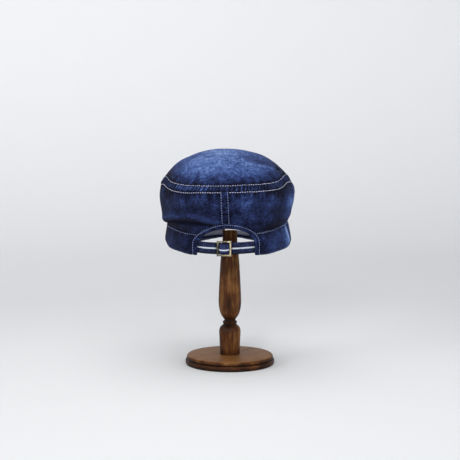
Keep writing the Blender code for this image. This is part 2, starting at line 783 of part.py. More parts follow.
def peak_root(angle):
    """Where the top of the peak meets the flared band, so that its underside is level with the rim."""
    height = line_height("rim", angle) + PEAK_WALL
    return cap_point(angle, level_at(height, angle), -SEAM_GAP)


def peak_surface(turn, share):
    """The top of the peak: turn runs from -1 to 1 across it, share from the band's rim to the free edge."""
    angle = math.pi - turn * PEAK_SPREAD
    root = peak_root(angle)
    end = peak_root(math.pi - PEAK_SPREAD)
    half_width = end.x - centre_x(RIM_HEIGHT)
    front = peak_root(math.pi).y
    round_turn = turn * math.pi / 2
    edge_x = centre_x(RIM_HEIGHT) + half_width * math.sin(round_turn)
    edge_y = end.y + (front - PEAK_DEPTH - end.y) * math.cos(round_turn) ** PEAK_FULLNESS
    droop = PEAK_DROOP_MIDDLE + (PEAK_DROOP_SIDES - PEAK_DROOP_MIDDLE) * abs(turn) ** PEAK_DROOP_POWER
    reach = math.hypot(edge_x - root.x, edge_y - root.y) * share
    x = root.x + (edge_x - root.x) * share
    y = root.y + (edge_y - root.y) * share
    return Vector((x, y, root.z - reach * math.tan(droop)))


def peak_point(turn, share, depth):
    return peak_surface(turn, share) - Vector((0, 0, depth))


def make_peak(collection, cloth):
    turns = [PEAK_END_SHARE * math.sin(step * math.pi / 2) for step in spaced(-1.0, 1.0, 27)]
    rows = [[(turn, share) for turn in turns] for share in (0.0, 0.25, 0.5, 0.75, 1.0)]
    mesh = wall_of_cloth("peak", peak_point, rows, 0.0, PEAK_WALL)
    return new_object("peak", mesh, cloth, collection)


def turned(name, outline, wood, collection):
    """A piece turned round the stand's axis from an outline of radii and heights, top to bottom."""
    mesh = bpy.data.meshes.new(name)
    edges = [(i, i + 1) for i in range(len(outline) - 1)]
    mesh.from_pydata([(radius, 0, height) for radius, height in outline], edges, [])
    made = new_object(name, mesh, wood, collection)
    screw = made.modifiers.new("turning", "SCREW")
    screw.steps = STAND_SIDES
    screw.render_steps = STAND_SIDES
    screw.use_merge_vertices = True
    screw.merge_threshold = 0.00001
    return made


def outline_of(profile, diameter, height, foot):
    return [(turn.diameter * diameter / 2, foot + turn.height * height) for turn in profile]


def rest_drop(radius):
    """How far the rest's dome has fallen at a radius."""
    share = min(1.0, radius / (REST_DIAMETER / 2))
    return REST_RISE * (1 - math.sqrt(1 - share**2))


def rest_top(top_panel):
    """Height of the rest's crown that leaves the small gap under the top panel's inside."""
    tree = BVHTree.FromObject(top_panel, bpy.context.evaluated_depsgraph_get())
    heights = []
    for radius in spaced(0.0, REST_DIAMETER / 2 * 0.95, 20):
        for angle in spaced(0.0, 2 * math.pi, 49):
            start = Vector((radius * math.cos(angle), radius * math.sin(angle), RIM_HEIGHT))
            hit = tree.ray_cast(start, Vector((0, 0, 1)))[0]
            heights.append(hit.z + rest_drop(radius))
    return min(heights) - REST_GAP


def make_rest(top_panel, wood, collection):
    top = rest_top(top_panel)
    radius = REST_DIAMETER / 2
    turns = [math.pi / 2 * i / REST_STEPS for i in range(REST_STEPS + 1)]
    outline = [(radius * math.sin(turn), top - REST_RISE * (1 - math.cos(turn))) for turn in turns]
    underside = top - REST_HEIGHT
    outline += [(radius * 0.93, underside), (0.0, underside)]
    turned("stand_rest", outline, wood, collection)
    return underside


def make_base(wood, collection):
    outline = outline_of(BASE_PROFILE, BASE_DIAMETER, BASE_HEIGHT, 0.0)
    turned("stand_base", outline, wood, collection)


def make_post(rest_underside, wood, collection):
    foot = BASE_HEIGHT + SEAM_GAP
    ring_foot = BASE_HEIGHT + LOWER_HEIGHT
    upper_foot = ring_foot + RING_HEIGHT
    upper_height = rest_underside - SEAM_GAP - upper_foot
    outline = [(0.0, upper_foot + upper_height)]
    outline += outline_of(UPPER_PROFILE, UPPER_DIAMETER, upper_height, upper_foot)
    outline += outline_of(RING_PROFILE, RING_DIAMETER, RING_HEIGHT, ring_foot)
    outline += outline_of(LOWER_PROFILE, LOWER_DIAMETER, ring_foot - foot, foot)
    outline.append((0.0, foot))
    turned("stand_post", outline, wood, collection)


def main():
    clear_scene()
    cap = bpy.data.collections.new("work_cap_on_stand")
    cutters = bpy.data.collections.new("cutters")
    for collection in (cap, cutters):
        bpy.context.scene.collection.children.link(collection)
    washed = material("washed_denim", (0.085, 0.14, 0.35), 0.9)
    dark = material("dark_denim", (0.022, 0.030, 0.085), 0.9)
    tape = material("grey_tape", (0.20, 0.22, 0.27), 0.85)
    white = material("white_tape", (0.75, 0.75, 0.74), 0.8)
    brass = material("old_brass", (0.45, 0.34, 0.16), 0.35, 1.0)
    wood = material("stained_wood", (0.12, 0.042, 0.014), 0.45)
    top_panel = make_top(cap, washed)
    make_welt(cap, dark)
    make_side(cap, dark)
    make_back_seam(cap, dark)
    make_band(cap, dark)
    make_binding(cap, dark)
    make_sweatband(cap, tape)
    make_label(cap, white)
    make_strap_left(cap, dark)
    make_strap_right(cap, dark)
    make_buckle(cap, cutters, brass)
    make_peak(cap, dark)
    rest_underside = make_rest(top_panel, wood, cap)
    make_post(rest_underside, wood, cap)
    make_base(wood, cap)


main()
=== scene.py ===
"""Finish of a denim work cap on a turned wooden stand, in a plain studio.

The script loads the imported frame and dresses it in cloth, stitching, strap, buckle and wood. The cap's panels
are drawn on the same surface as the frame's solids, with the finer folds, puckers and seams that the solids
leave out. Metres, +Z up; the back of the cap with its arch and strap is at +Y, the peak at -Y.
"""

import functools
import math
import random
from collections import namedtuple

import bmesh
import bpy
import numpy as np
from bpy.props import FloatProperty, FloatVectorProperty, IntProperty, PointerProperty
from mathutils import Matrix, Vector, noise


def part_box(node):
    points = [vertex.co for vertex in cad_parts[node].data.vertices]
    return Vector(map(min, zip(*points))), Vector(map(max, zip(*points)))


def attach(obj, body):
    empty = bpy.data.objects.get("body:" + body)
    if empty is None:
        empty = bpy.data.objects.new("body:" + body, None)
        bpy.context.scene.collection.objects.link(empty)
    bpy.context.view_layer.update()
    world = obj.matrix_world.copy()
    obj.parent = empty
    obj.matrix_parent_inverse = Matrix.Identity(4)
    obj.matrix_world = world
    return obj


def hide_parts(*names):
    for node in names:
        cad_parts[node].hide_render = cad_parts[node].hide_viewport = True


bl_info = {
    "name": "Denim Work Cap on a Turned Stand",
    "version": (1, 0, 0),
    "blender": (4, 5, 0),
    "location": "3D View > Sidebar > Work Cap",
    "description": "Dresses the frame of a denim work cap on its wooden stand",
    "category": "Object",
}

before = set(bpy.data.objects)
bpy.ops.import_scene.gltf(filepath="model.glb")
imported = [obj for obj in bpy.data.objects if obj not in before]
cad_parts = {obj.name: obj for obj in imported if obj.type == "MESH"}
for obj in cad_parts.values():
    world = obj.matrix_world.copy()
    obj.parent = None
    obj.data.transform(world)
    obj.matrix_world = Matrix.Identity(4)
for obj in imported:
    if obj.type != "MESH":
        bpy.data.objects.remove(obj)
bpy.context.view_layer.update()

# Sizes that the frame's solids follow, in metres
SEAM_GAP = 0.0003
RIM_HEIGHT = 0.1740
BAND_HEIGHT = 0.0343
SIDE_HEIGHT = 0.0564
WELT_HEIGHT = 0.0084
DOME_HEIGHT = 0.0463
CAP_TILT = 0.0130
BAND_SWEEP = 0.0090
SWEEP_ANGLE = math.radians(55)
FRONT_BOW = 0.0036
BOW_ANGLE = math.radians(22)
RIM_SAG = 0.0016
SAG_PLACE = math.radians(36)
SAG_ANGLE = math.radians(11)
HEAD_WIDTH = 0.1770
HEAD_LENGTH = 0.2000
BAND_FLARE = 0.0046
CROWN_PUFF_SIDES = 0.0112
CROWN_PUFF_ENDS = 0.0155
OVAL_POWER = 2.15
CAP_SHIFT = 0.0020
CROWN_LEAN = 0.0050
DOME_FORWARD = 0.0120
DOME_ROUNDNESS = 0.76
DOME_SHOULDER = 8
CLOTH_WALL = 0.0020
SWEATBAND_WALL = 0.0012
SWEATBAND_HEIGHT = 0.0240
SWEATBAND_INSET = 0.0018
SWEATBAND_EASE = 0.0009
SEAM_STRIP_WIDTH = 0.0112
SEAM_STRIP_OFFSET = 0.0026
LABEL_WIDTH = 0.0233
LABEL_HEIGHT = 0.0180
LABEL_WALL = 0.0005
LABEL_OFFSET = -0.0101
LABEL_SHOWS = 0.0044
LABEL_SLANT = 0.04
ARCH_WIDTH = 0.0820
ARCH_SPRING = 0.0163
ARCH_RISE = 0.0220
ARCH_OFFSET = 0.0028
ARCH_POWER_LEFT = 1.65
ARCH_POWER_RIGHT = 2.0
BINDING_WIDTH = 0.0072
BINDING_PROUD = 0.0006
STRAP_WIDTH = 0.0166
STRAP_WALL = 0.0010
STRAP_CENTRE = 0.0113
STRAP_SAG = 0.0018
STRAP_BOW = 0.0070
STRAP_TUCK = 0.0130
STRAP_TAIL = 0.0130
STRAP_EASE = 0.0035
BUCKLE_WIDTH = 0.0202
BUCKLE_HEIGHT = 0.0215
BUCKLE_BAR = 0.0021
BUCKLE_WALL = 0.0016
BUCKLE_OFFSET = 0.0029
BUCKLE_BAR_SET_BACK = 0.0010
PEAK_DEPTH = 0.0560
PEAK_SPREAD = math.radians(57)
PEAK_WALL = 0.0030
PEAK_DROOP_MIDDLE = math.radians(5.5)
PEAK_DROOP_SIDES = math.radians(22)
PEAK_DROOP_POWER = 1.2
PEAK_FULLNESS = 0.75
PEAK_END_SHARE = 0.985

# How far each seam line rises at four places round the cap, in shares of CAP_TILT
Rise = namedtuple("Rise", "back left front right")
RISES = {
    "rim": Rise(0.00, 0.31, 0.10, 0.34),
    "seam": Rise(0.36, 0.10, 0.40, 0.45),
    "welt_low": Rise(0.00, 0.27, 1.00, 0.50),
    "welt_high": Rise(0.00, 0.45, 1.35, 0.60),
}

# Where the welt's two seams wander up the cloth: angle round the cap, its spread, and climb in metres
Wander = namedtuple("Wander", "angle wide climb")
WELT_WANDERS = {
    "welt_low": (
        Wander(math.radians(72), math.radians(13), 0.0053),
        Wander(math.radians(36), math.radians(12), -0.0010),
        Wander(math.radians(-70), math.radians(14), 0.0064),
    ),
    "welt_high": (
        Wander(math.radians(76), math.radians(15), 0.0030),
        Wander(math.radians(38), math.radians(12), -0.0008),
        Wander(math.radians(-16), math.radians(12), 0.0010),
        Wander(math.radians(-76), math.radians(19), 0.0038),
    ),
}

# How far the cloth stands out from the head oval, by share of a storey's height
Puff = namedtuple("Puff", "share out")
BAND_PUFFS = (Puff(0.00, 0.12), Puff(0.12, 0.66), Puff(0.30, 1.00), Puff(0.65, 0.60), Puff(1.00, 0.00))
SIDE_PUFFS = (
    Puff(0.00, 0.00), Puff(0.06, 0.18), Puff(0.20, 0.44), Puff(0.40, 0.69), Puff(0.62, 0.87),
    Puff(0.80, 1.00), Puff(0.92, 0.94), Puff(1.00, 0.78),
)
WELT_PUFFS = (Puff(0.00, 0.78), Puff(0.50, 0.46), Puff(1.00, 0.11))


def in_radians(kind, *rows):
    """A table whose rows start with an angle round the cap, given in degrees."""
    return tuple(kind(math.radians(angle), *rest) for angle, *rest in rows)


# Main folds and hollows: angle round the cap, level, their spreads, and push as a share of the side puff
Fold = namedtuple("Fold", "angle level wide tall push")
FOLDS = in_radians(
    Fold,
    (48, 1.15, 0.50, 0.16, 0.28),
    (-60, 1.55, 0.40, 0.30, 0.10),
    (12, 1.45, 0.22, 0.30, -0.12),
    (-14, 1.40, 0.22, 0.30, -0.10),
    (-88, 2.15, 0.35, 0.22, -0.16),
    (88, 1.25, 0.55, 0.30, 0.12),
    (-92, 1.25, 0.50, 0.30, -0.08),
    (80, 1.92, 0.45, 0.18, -0.10),
    (140, 1.50, 0.35, 0.30, 0.08),
    (-150, 1.40, 0.30, 0.30, -0.08),
    (75, 0.45, 0.30, 0.40, -0.06),
    (-50, 0.40, 0.30, 0.40, 0.06),
)

# Levels on the cap's wall: band 0 to 1, side 1 to 2, welt 2 to 3, top panel 3 to 4
STOREYS = (
    ("rim", "seam", BAND_PUFFS),
    ("seam", "welt_low", SIDE_PUFFS),
    ("welt_low", "welt_high", WELT_PUFFS),
)
LINE_HEIGHTS = {
    "rim": RIM_HEIGHT,
    "seam": RIM_HEIGHT + BAND_HEIGHT,
    "welt_low": RIM_HEIGHT + BAND_HEIGHT + SIDE_HEIGHT,
    "welt_high": RIM_HEIGHT + BAND_HEIGHT + SIDE_HEIGHT + WELT_HEIGHT,
}
APEX_HEIGHT = LINE_HEIGHTS["welt_high"] + DOME_HEIGHT
WELT_SLANT = math.hypot(WELT_HEIGHT, (WELT_PUFFS[0].out - WELT_PUFFS[-1].out) * CROWN_PUFF_SIDES)
DOME_SLANT = math.hypot(HEAD_WIDTH / 2, DOME_HEIGHT)
LEVELS = (0, 1, 2, 3, 4)
CLIMBS = np.cumsum((0.0, BAND_HEIGHT, SIDE_HEIGHT, WELT_SLANT, DOME_SLANT))
RING_RADIUS = (HEAD_WIDTH + HEAD_LENGTH) / 4

# Step to each side of a point at which a surface's direction is read
REACH = 0.0015

# Height of the tuck that the sagging side makes above the band, by angle round the cap
Tuck = namedtuple("Tuck", "angle height")
TUCK_HEIGHTS = in_radians(
    Tuck,
    (6, 0.2158),
    (18, 0.2190),
    (34, 0.2212),
    (55, 0.2185),
    (78, 0.2119),
)

# Notch in the right shoulder of the top panel, by angle and distance up from the welt
NOTCH_ANGLE = math.radians(-74)
NOTCH_CLIMB = 0.0085

# Long crease that runs down to that notch: its height at x = 0, its slope along x and the middle of its run
CREASE_HEIGHT = 0.3085
CREASE_SLOPE = 0.25
CREASE_X = -0.048

# Large washed and dark patches of the dye: angle round the cap, level, their spreads, and change of the fade.
# The rows at -72 and -70 degrees, which make the right side of the side panel and band paler, are partly
# painted light from that side
Wash = namedtuple("Wash", "angle level wide tall fade")
WASHES = in_radians(
    Wash,
    (30, 1.72, 0.34, 0.16, 0.07),
    (14, 1.58, 0.14, 0.36, -0.11),
    (42, 1.42, 0.30, 0.12, 0.03),
    (-15, 1.66, 0.16, 0.20, 0.06),
    (-34, 1.50, 0.14, 0.25, 0.07),
    (-72, 1.62, 0.26, 0.32, 0.32),
    (-42, 1.95, 0.22, 0.09, -0.20),
    (-36, 1.16, 0.34, 0.14, -0.12),
    (-70, 0.50, 0.23, 0.60, 0.62),
    (-45, 0.45, 0.12, 0.50, 0.06),
    (62, 0.40, 0.20, 0.40, 0.05),
    (28, 2.50, 0.32, 0.38, 0.22),
    (60, 3.10, 0.30, 0.14, -0.14),
    (-62, 3.25, 0.45, 0.22, -0.06),
)

# How far each panel's dye has faded before its folds and patches: 0 is deep indigo and 1 the palest
TOP_FADE = 0.64
WELT_FADE = 0.14
SIDE_FADE = 0.25
BAND_FADE = 0.20
STRIP_FADE = 0.19
BINDING_FADE = 0.17
PEAK_FADE = 0.24

# Rows of stitching: from the seam beside them, up from the rim, from the arch's fold, and across the felled
# strip as shares of its width
STITCH_INSET = 0.0012
HEM_HEIGHT = 0.0050
ARCH_ROW = 0.0058
STRIP_ROWS = (0.09, 0.91)


# Colour


def linear(code):
    """An sRGB hex colour as the linear values that shaders take."""
    values = [int(code[i : i + 2], 16) / 255 for i in (1, 3, 5)]
    return tuple(v / 12.92 if v <= 0.04045 else ((v + 0.055) / 1.055) ** 2.4 for v in values)


# The cap's surface


def limited(value, low=0.0, high=1.0):
    """The value, or the bound that it passes."""
    return max(low, min(high, value))


def hump(value, middle, spread):
    """1 at the middle, falling away to nothing about two spreads to each side."""
    return math.exp(-(((value - middle) / spread) ** 2))


def step_up(value, place, width):
    """0 below a place and 1 above it, over a soft step a few widths long."""
    return 1 / (1 + math.exp(min(50.0, (place - value) / width)))


def signed_power(value, power):
    """A power of the value's size, with the value's sign."""
    return math.copysign(abs(value) ** power, value)


def smooth_between(rows, share):
    """The rows' second column at a share of their first, on a smooth curve through all rows."""
    last = len(rows) - 2
    index = next((i for i in range(last) if share < rows[i + 1][0]), last)
    before, start, end, after = (rows[max(0, min(i, last + 1))] for i in range(index - 1, index + 3))
    span = end[0] - start[0]
    slope_in = (end[1] - before[1]) / (end[0] - before[0]) * span
    slope_out = (after[1] - start[1]) / (after[0] - start[0]) * span
    t = (share - start[0]) / span
    return (
        (2 * t**3 - 3 * t**2 + 1) * start[1]
        + (t**3 - 2 * t**2 + t) * slope_in
        + (3 * t**2 - 2 * t**3) * end[1]
        + (t**3 - t**2) * slope_out
    )


def wrapped(angle):
    """The angle brought between -180 and 180 degrees. 0 is the middle of the back, +90 degrees is +X."""
    return (angle + math.pi) % (2 * math.pi) - math.pi


@functools.cache
def line_height(name, angle):
    """Height of a seam line of the cap at an angle round it."""
    rise = RISES[name]
    share = sum(rise) / 4
    share += (rise.back - rise.front) / 2 * math.cos(angle)
    share += (rise.left - rise.right) / 2 * math.sin(angle)
    share += (rise.back + rise.front - rise.left - rise.right) / 4 * math.cos(2 * angle)
    height = LINE_HEIGHTS[name] + CAP_TILT * share
    if name == "seam":
        height -= BAND_SWEEP * math.exp(-((wrapped(angle) / SWEEP_ANGLE) ** 4))
    if name == "rim":
        height += FRONT_BOW * hump(wrapped(angle + math.pi), 0.0, BOW_ANGLE)
        height -= RIM_SAG * hump(abs(wrapped(angle)), SAG_PLACE, SAG_ANGLE)
    return height


@functools.cache
def folds_here(angle):
    """The folds that reach this angle, with their push here in metres."""
    found = []
    for fold in FOLDS:
        across = wrapped(angle - fold.angle)
        if abs(across) < 3 * fold.wide:
            found.append((fold, fold.push * hump(across, 0.0, fold.wide) * CROWN_PUFF_SIDES))
    return found


def fold_push(angle, level):
    """How far the folds push the wall out here, in metres."""
    return sum(push * hump(level, fold.level, fold.tall) for fold, push in folds_here(angle))


@functools.cache
def puff_out(level):
    """Share of the full puff at a level."""
    storey = min(int(level), 2)
    return smooth_between(STOREYS[storey][2], min(level, 3.0) - storey)


@functools.cache
def oval_reach(angle):
    """Unit oval of the head: how far it goes along X and along Y at an angle."""
    return signed_power(math.sin(angle), 2 / OVAL_POWER), signed_power(math.cos(angle), 2 / OVAL_POWER)


def half_sizes(angle, level):
    """Half width and half length of the cap's wall at a level."""
    out = puff_out(level)
    push = fold_push(angle, level)
    if level < 1:
        return HEAD_WIDTH / 2 + out * BAND_FLARE + push, HEAD_LENGTH / 2 + out * BAND_FLARE + push
    return HEAD_WIDTH / 2 + out * CROWN_PUFF_SIDES + push, HEAD_LENGTH / 2 + out * CROWN_PUFF_ENDS + push


def centre_x(height):
    """The cap leans a little to one side as it goes up."""
    return CAP_SHIFT + CROWN_LEAN * (height - RIM_HEIGHT) / (APEX_HEIGHT - RIM_HEIGHT)


def wall_height(angle, level):
    """Height of the wall at a level, between the seam lines below and above it."""
    storey = min(int(level), 2)
    low, high, _ = STOREYS[storey]
    share = level - storey
    return (1 - share) * line_height(low, angle) + share * line_height(high, angle)


def dome_surface(angle, level):
    """The top panel: rings that shrink from the welt to the apex on a full curve."""
    spread = 4 - level
    rise = 1 - DOME_ROUNDNESS * spread**2 - (1 - DOME_ROUNDNESS) * spread**DOME_SHOULDER
    half_width, half_length = half_sizes(angle, 3.0)
    along_x, along_y = oval_reach(angle)
    edge = line_height("welt_high", angle)
    height = (1 - rise) * edge + rise * APEX_HEIGHT
    x = spread * half_width * along_x + centre_x(height)
    y = spread * half_length * along_y - (1 - spread) * DOME_FORWARD
    return Vector((x, y, height))


def cap_surface(angle, level):
    """A point on the outside of the cap, without its fine relief."""
    if level > 3:
        return dome_surface(angle, level)
    half_width, half_length = half_sizes(angle, level)
    along_x, along_y = oval_reach(angle)
    height = wall_height(angle, level)
    return Vector((half_width * along_x + centre_x(height), half_length * along_y, height))


def climbed(level, distance):
    """The level that lies a distance up the cloth from a level, or down it if negative."""
    return float(np.interp(np.interp(level, LEVELS, CLIMBS) + distance, CLIMBS, LEVELS))


@functools.cache
def welt_edge(name, angle, gap=0.0):
    """Level of the welt's lower or upper seam at an angle, moved up the cloth by a gap."""
    climb = gap
    for wander in WELT_WANDERS[name]:
        climb += wander.climb * hump(wrapped(angle - wander.angle), 0.0, wander.wide)
    return climbed({"welt_low": 2.0, "welt_high": 3.0}[name], climb)


def climb_between(low, high):
    """Distance up the cloth from one level to another."""
    return float(np.interp(high, LEVELS, CLIMBS) - np.interp(low, LEVELS, CLIMBS))


def cap_frame(angle, level):
    """A point on the outside of the cap and the cloth's outward normal there."""
    turn = 2 * REACH / HEAD_WIDTH
    across = cap_surface(angle + turn, level) - cap_surface(angle - turn, level)
    up = cap_surface(angle, climbed(level, REACH)) - cap_surface(angle, climbed(level, -REACH))
    normal = up.cross(across).normalized() if level < 3.999 else Vector((0, 0, 1))
    return cap_surface(angle, level), normal


def angle_at(x, level):
    """The angle on the back half at which the wall at this level has this x."""
    angle = 0.0
    for _ in range(4):
        share = (x - centre_x(wall_height(angle, level))) / half_sizes(angle, level)[0]
        angle = math.asin(signed_power(limited(share, -1.0), OVAL_POWER / 2))
    return angle


def level_at(height, angle):
    """The level at which the wall has this height at this angle, on the band or the side."""
    rim, seam, welt = (line_height(name, angle) for name in ("rim", "seam", "welt_low"))
    if height < seam:
        return max(0.0, (height - rim) / (seam - rim))
    return 1 + (height - seam) / (welt - seam)


def back_place(x, height):
    """Angle and level of the wall at a place on the back given by its x and height."""
    angle = 0.0
    for _ in range(5):
        level = level_at(height, angle)
        angle = angle_at(x, level)
    return angle, level_at(height, angle)


def back_point(x, height, depth):
    """A point on the back, at a depth under the cloth's outside."""
    point, normal = cap_frame(*back_place(x, height))
    return point - depth * normal


ARCH_FOOT = line_height("rim", 0.0)
ARCH_SPRING_HEIGHT = ARCH_FOOT + ARCH_SPRING
ARCH_TOP = ARCH_SPRING_HEIGHT + ARCH_RISE
ARCH_X = centre_x(ARCH_SPRING_HEIGHT) + ARCH_OFFSET


def arch_power(side):
    """The arch is an oval on its -X side and leaner on its +X side."""
    return ARCH_POWER_LEFT if side > 0 else ARCH_POWER_RIGHT


def arch_half_width(height, side, margin):
    """How far the arch reaches at a height on the side +1 or -1, with its edge moved out by a margin."""
    power = arch_power(side)
    share = max(0.0, (height - ARCH_SPRING_HEIGHT) / (ARCH_RISE + margin))
    return (ARCH_WIDTH / 2 + margin) * max(0.0, 1 - share**power) ** (1 / power)


def arch_height(x, margin):
    """Height of the arch's edge at x with a margin, or None beside the arch."""
    power = arch_power(x - ARCH_X)
    share = abs(x - ARCH_X) / (ARCH_WIDTH / 2 + margin)
    if share >= 1:
        return None
    return ARCH_SPRING_HEIGHT + (ARCH_RISE + margin) * (1 - share**power) ** (1 / power)


def arch_side_angle(level, side, margin):
    """Angle of the arch's edge at a level, on the side +1 or -1."""
    angle = 0.0
    for _ in range(6):
        half_width = arch_half_width(wall_height(angle, level), side, margin)
        angle = angle_at(ARCH_X + side * half_width, level)
    return angle


@functools.cache
def side_lower_level(angle):
    """Where the side panel starts: at the band seam, or over the arch at its binding."""
    seam_level = climbed(1.0, SEAM_GAP / 2)
    if math.cos(angle) < 0.5:
        return seam_level
    level = seam_level
    for _ in range(4):
        height = arch_height(cap_surface(angle, level).x, BINDING_WIDTH + SEAM_GAP)
        level = seam_level if height is None else max(seam_level, level_at(height, angle))
    return level


def band_ends(level):
    """Angles at which the band meets the binding, from the arch's +X side round the front to its -X side."""
    start, end = (arch_side_angle(level, side, BINDING_WIDTH + SEAM_GAP) for side in (1, -1))
    return start, end + 2 * math.pi


# Fine relief of the cloth. The relief functions give a lift out of the wall in metres and a fade of the dye
# with painted shade and light added to it


def seam_x(height):
    """x of the middle of the felled seam at a height."""
    return centre_x(height) + SEAM_STRIP_OFFSET


def ripple(angle, along, pitch, seed):
    """Noise round the cap whose folds lie about a pitch apart and run up the cloth."""
    turns = RING_RADIUS / pitch
    return noise.noise(Vector((turns * math.cos(angle) + seed, turns * math.sin(angle), along)))


def seam_ripple(angle, distance, pitch, run, reach, seed):
    """A ripple that starts at a seam, keeps its course for a run up the cloth and dies away in a reach."""
    return ripple(angle, distance / run, pitch, seed) * math.exp(-distance / reach)


def pleats(angle, pitch, seed):
    """Small gathers round the cap, uneven in place and depth: 1 on a ridge, -1 in a crease."""
    count = round(2 * math.pi * RING_RADIUS / pitch)
    drift = 4 * ripple(angle, 0.0, 3 * pitch, seed)
    depth = 0.85 + 0.6 * ripple(angle, 0.0, 3 * pitch, seed + 5)
    return math.cos(count * angle + drift) * limited(depth, 0.35)


def blotch(point, size, seed):
    """Noise in blotches of about this size."""
    return noise.noise(point / size + Vector((seed, 0.7 * seed, -seed)))


def from_edge(distance, reach):
    """0 at a seam, rising to 1 a few reaches away, so that the panels' edges meet."""
    return 1 - math.exp(-max(0.0, distance) / reach)


def washed_here(angle, level):
    """How far the large washed and dark patches change the fade here; two of them are partly painted light."""
    change = 0.0
    for wash in WASHES:
        up, across = level - wash.level, wrapped(angle - wash.angle)
        if abs(up) < 3 * wash.tall and abs(across) < 3 * wash.wide:
            change += wash.fade * hump(up, 0.0, wash.tall) * hump(across, 0.0, wash.wide)
    return change


def added(*features):
    """Lift in metres and fade with painted shade of the cloth: a row holds a feature's strength here, its lift
    and its change of the fade and painted shade.
    """
    lift = sum(strength * rise for strength, rise, _ in features)
    return lift, sum(strength * dye for strength, _, dye in features)


def top_relief(angle, level, point):
    """Puckers and folds from the welt, shallow dents, the notch and its crease, painted shade in the notch,
    under the crease's ridge and along the welt, and a middle that is paler and sides that are darker, partly
    washed and partly painted light from above.
    """
    far = climb_between(welt_edge("welt_high", angle), level)
    pucker = seam_ripple(angle, far, pitch=0.0085, run=0.020, reach=0.010, seed=3.0)
    fold = seam_ripple(angle, far, pitch=0.030, run=0.060, reach=0.030, seed=8.0)
    notch = hump(wrapped(angle), NOTCH_ANGLE, 0.10) * hump(far, NOTCH_CLIMB, 0.0030)
    above = point.z - CREASE_HEIGHT - CREASE_SLOPE * point.x
    along = hump(point.x, CREASE_X, 0.021) * (point.y > 0)
    lift, fade = added(
        (pucker, 0.0013, 0.28),
        (fold, 0.0018, 0.16),
        (blotch(point, size=0.060, seed=2.0), 0.0018, 0.16),
        (blotch(point, size=0.022, seed=5.0), 0.0006, 0.0),
        # Pushed in, with painted shade in the notch
        (notch, -0.0034, -0.55),
        (along * hump(above, 0.0, 0.0017), 0.0006, 0.17),
        # Painted shade: the hollow under the crease's ridge, a band along the welt that widens on its folds,
        # and a line beside the welt's row
        (along * hump(above, 0.0042, 0.0028), 0.0, -0.13),
        (hump(far, 0.0, 0.0085 + 0.004 * fold), 0.0, -0.37),
        (hump(far, 0.0, 0.0016), 0.0, -0.20),
        # Painted light from above, partly wash too: the middle paler and both sides darker
        (hump(point.x, 0.006, 0.050) * hump(point.y, 0.020, 0.060), 0.0, 0.20),
        (limited((0.010 - point.x) / 0.080), 0.0, -0.13),
        (max(0.0, point.x / 0.090), 0.0, -0.05),
    )
    return lift * from_edge(far, 0.0022), TOP_FADE + fade + washed_here(angle, level)


def welt_relief(angle, level, point):
    """Close puckers across the welt, worn on their ridges, a dint along each row of stitching, and painted
    shade beside both rows.
    """
    low = climb_between(welt_edge("welt_low", angle), level)
    high = climb_between(level, welt_edge("welt_high", angle))
    pucker = pleats(angle + 0.03 * level, pitch=0.0056, seed=12.0)
    lift, fade = added(
        (pucker, 0.0005, 0.0),
        (max(0.0, pucker) ** 2, 0.0, 0.42),
        (max(0.0, -pucker), 0.0, -0.14),
        (ripple(angle, level * 0.3, pitch=0.0080, seed=15.0), 0.0008, 0.0),
        (blotch(point, size=0.014, seed=17.0), 0.0, 0.22),
        (hump(high, STITCH_INSET, 0.0009), -0.0004, 0.0),
        # Painted shade under the upper row and along the lower seam
        (hump(high, 0.0020, 0.0009), 0.0, -0.16),
        (hump(low, 0.0, 0.0016), 0.0, -0.22),
    )
    lift *= from_edge(low, 0.0008) * from_edge(high, 0.0008)
    return lift, WELT_FADE + fade + washed_here(angle, level)


def tuck_relief(turn, low, point):
    """The side's sag over the band: a full roll over a tuck, deep on the left, slight on the right, with a
    painted highlight on the roll and painted shadow in the tuck and over the right of the band seam.
    """
    first, last = TUCK_HEIGHTS[0].angle, TUCK_HEIGHTS[-1].angle
    drop = point.z - smooth_between(TUCK_HEIGHTS, limited(turn, first, last))
    deep = step_up(turn, first, 0.04) * hump(max(1.0, turn), 1.0, 0.7)
    slight = hump(turn, math.radians(-50), 0.50)
    return added(
        (deep * hump(drop, 0.0065, 0.0045), 0.0020, 0.0),
        # Painted highlight on the roll
        (deep * hump(drop, 0.0080, 0.0042), 0.0, 0.18),
        (deep * hump(drop, -0.0008, 0.0021), -0.0034, 0.0),
        # Painted shadow in the tuck under the roll
        (deep * hump(drop, -0.0014, 0.0028), 0.0, -0.46),
        (deep * step_up(-drop, 0.0, 0.0006), -0.0014, 0.0),
        (slight * hump(low, 0.0115, 0.0050), 0.0012, 0.0),
        (slight * hump(low, 0.0040, 0.0030), -0.0012, 0.0),
        # Painted shadow above the band seam on the right
        (slight * hump(low, 0.0030, 0.0052), 0.0, -0.20),
    )


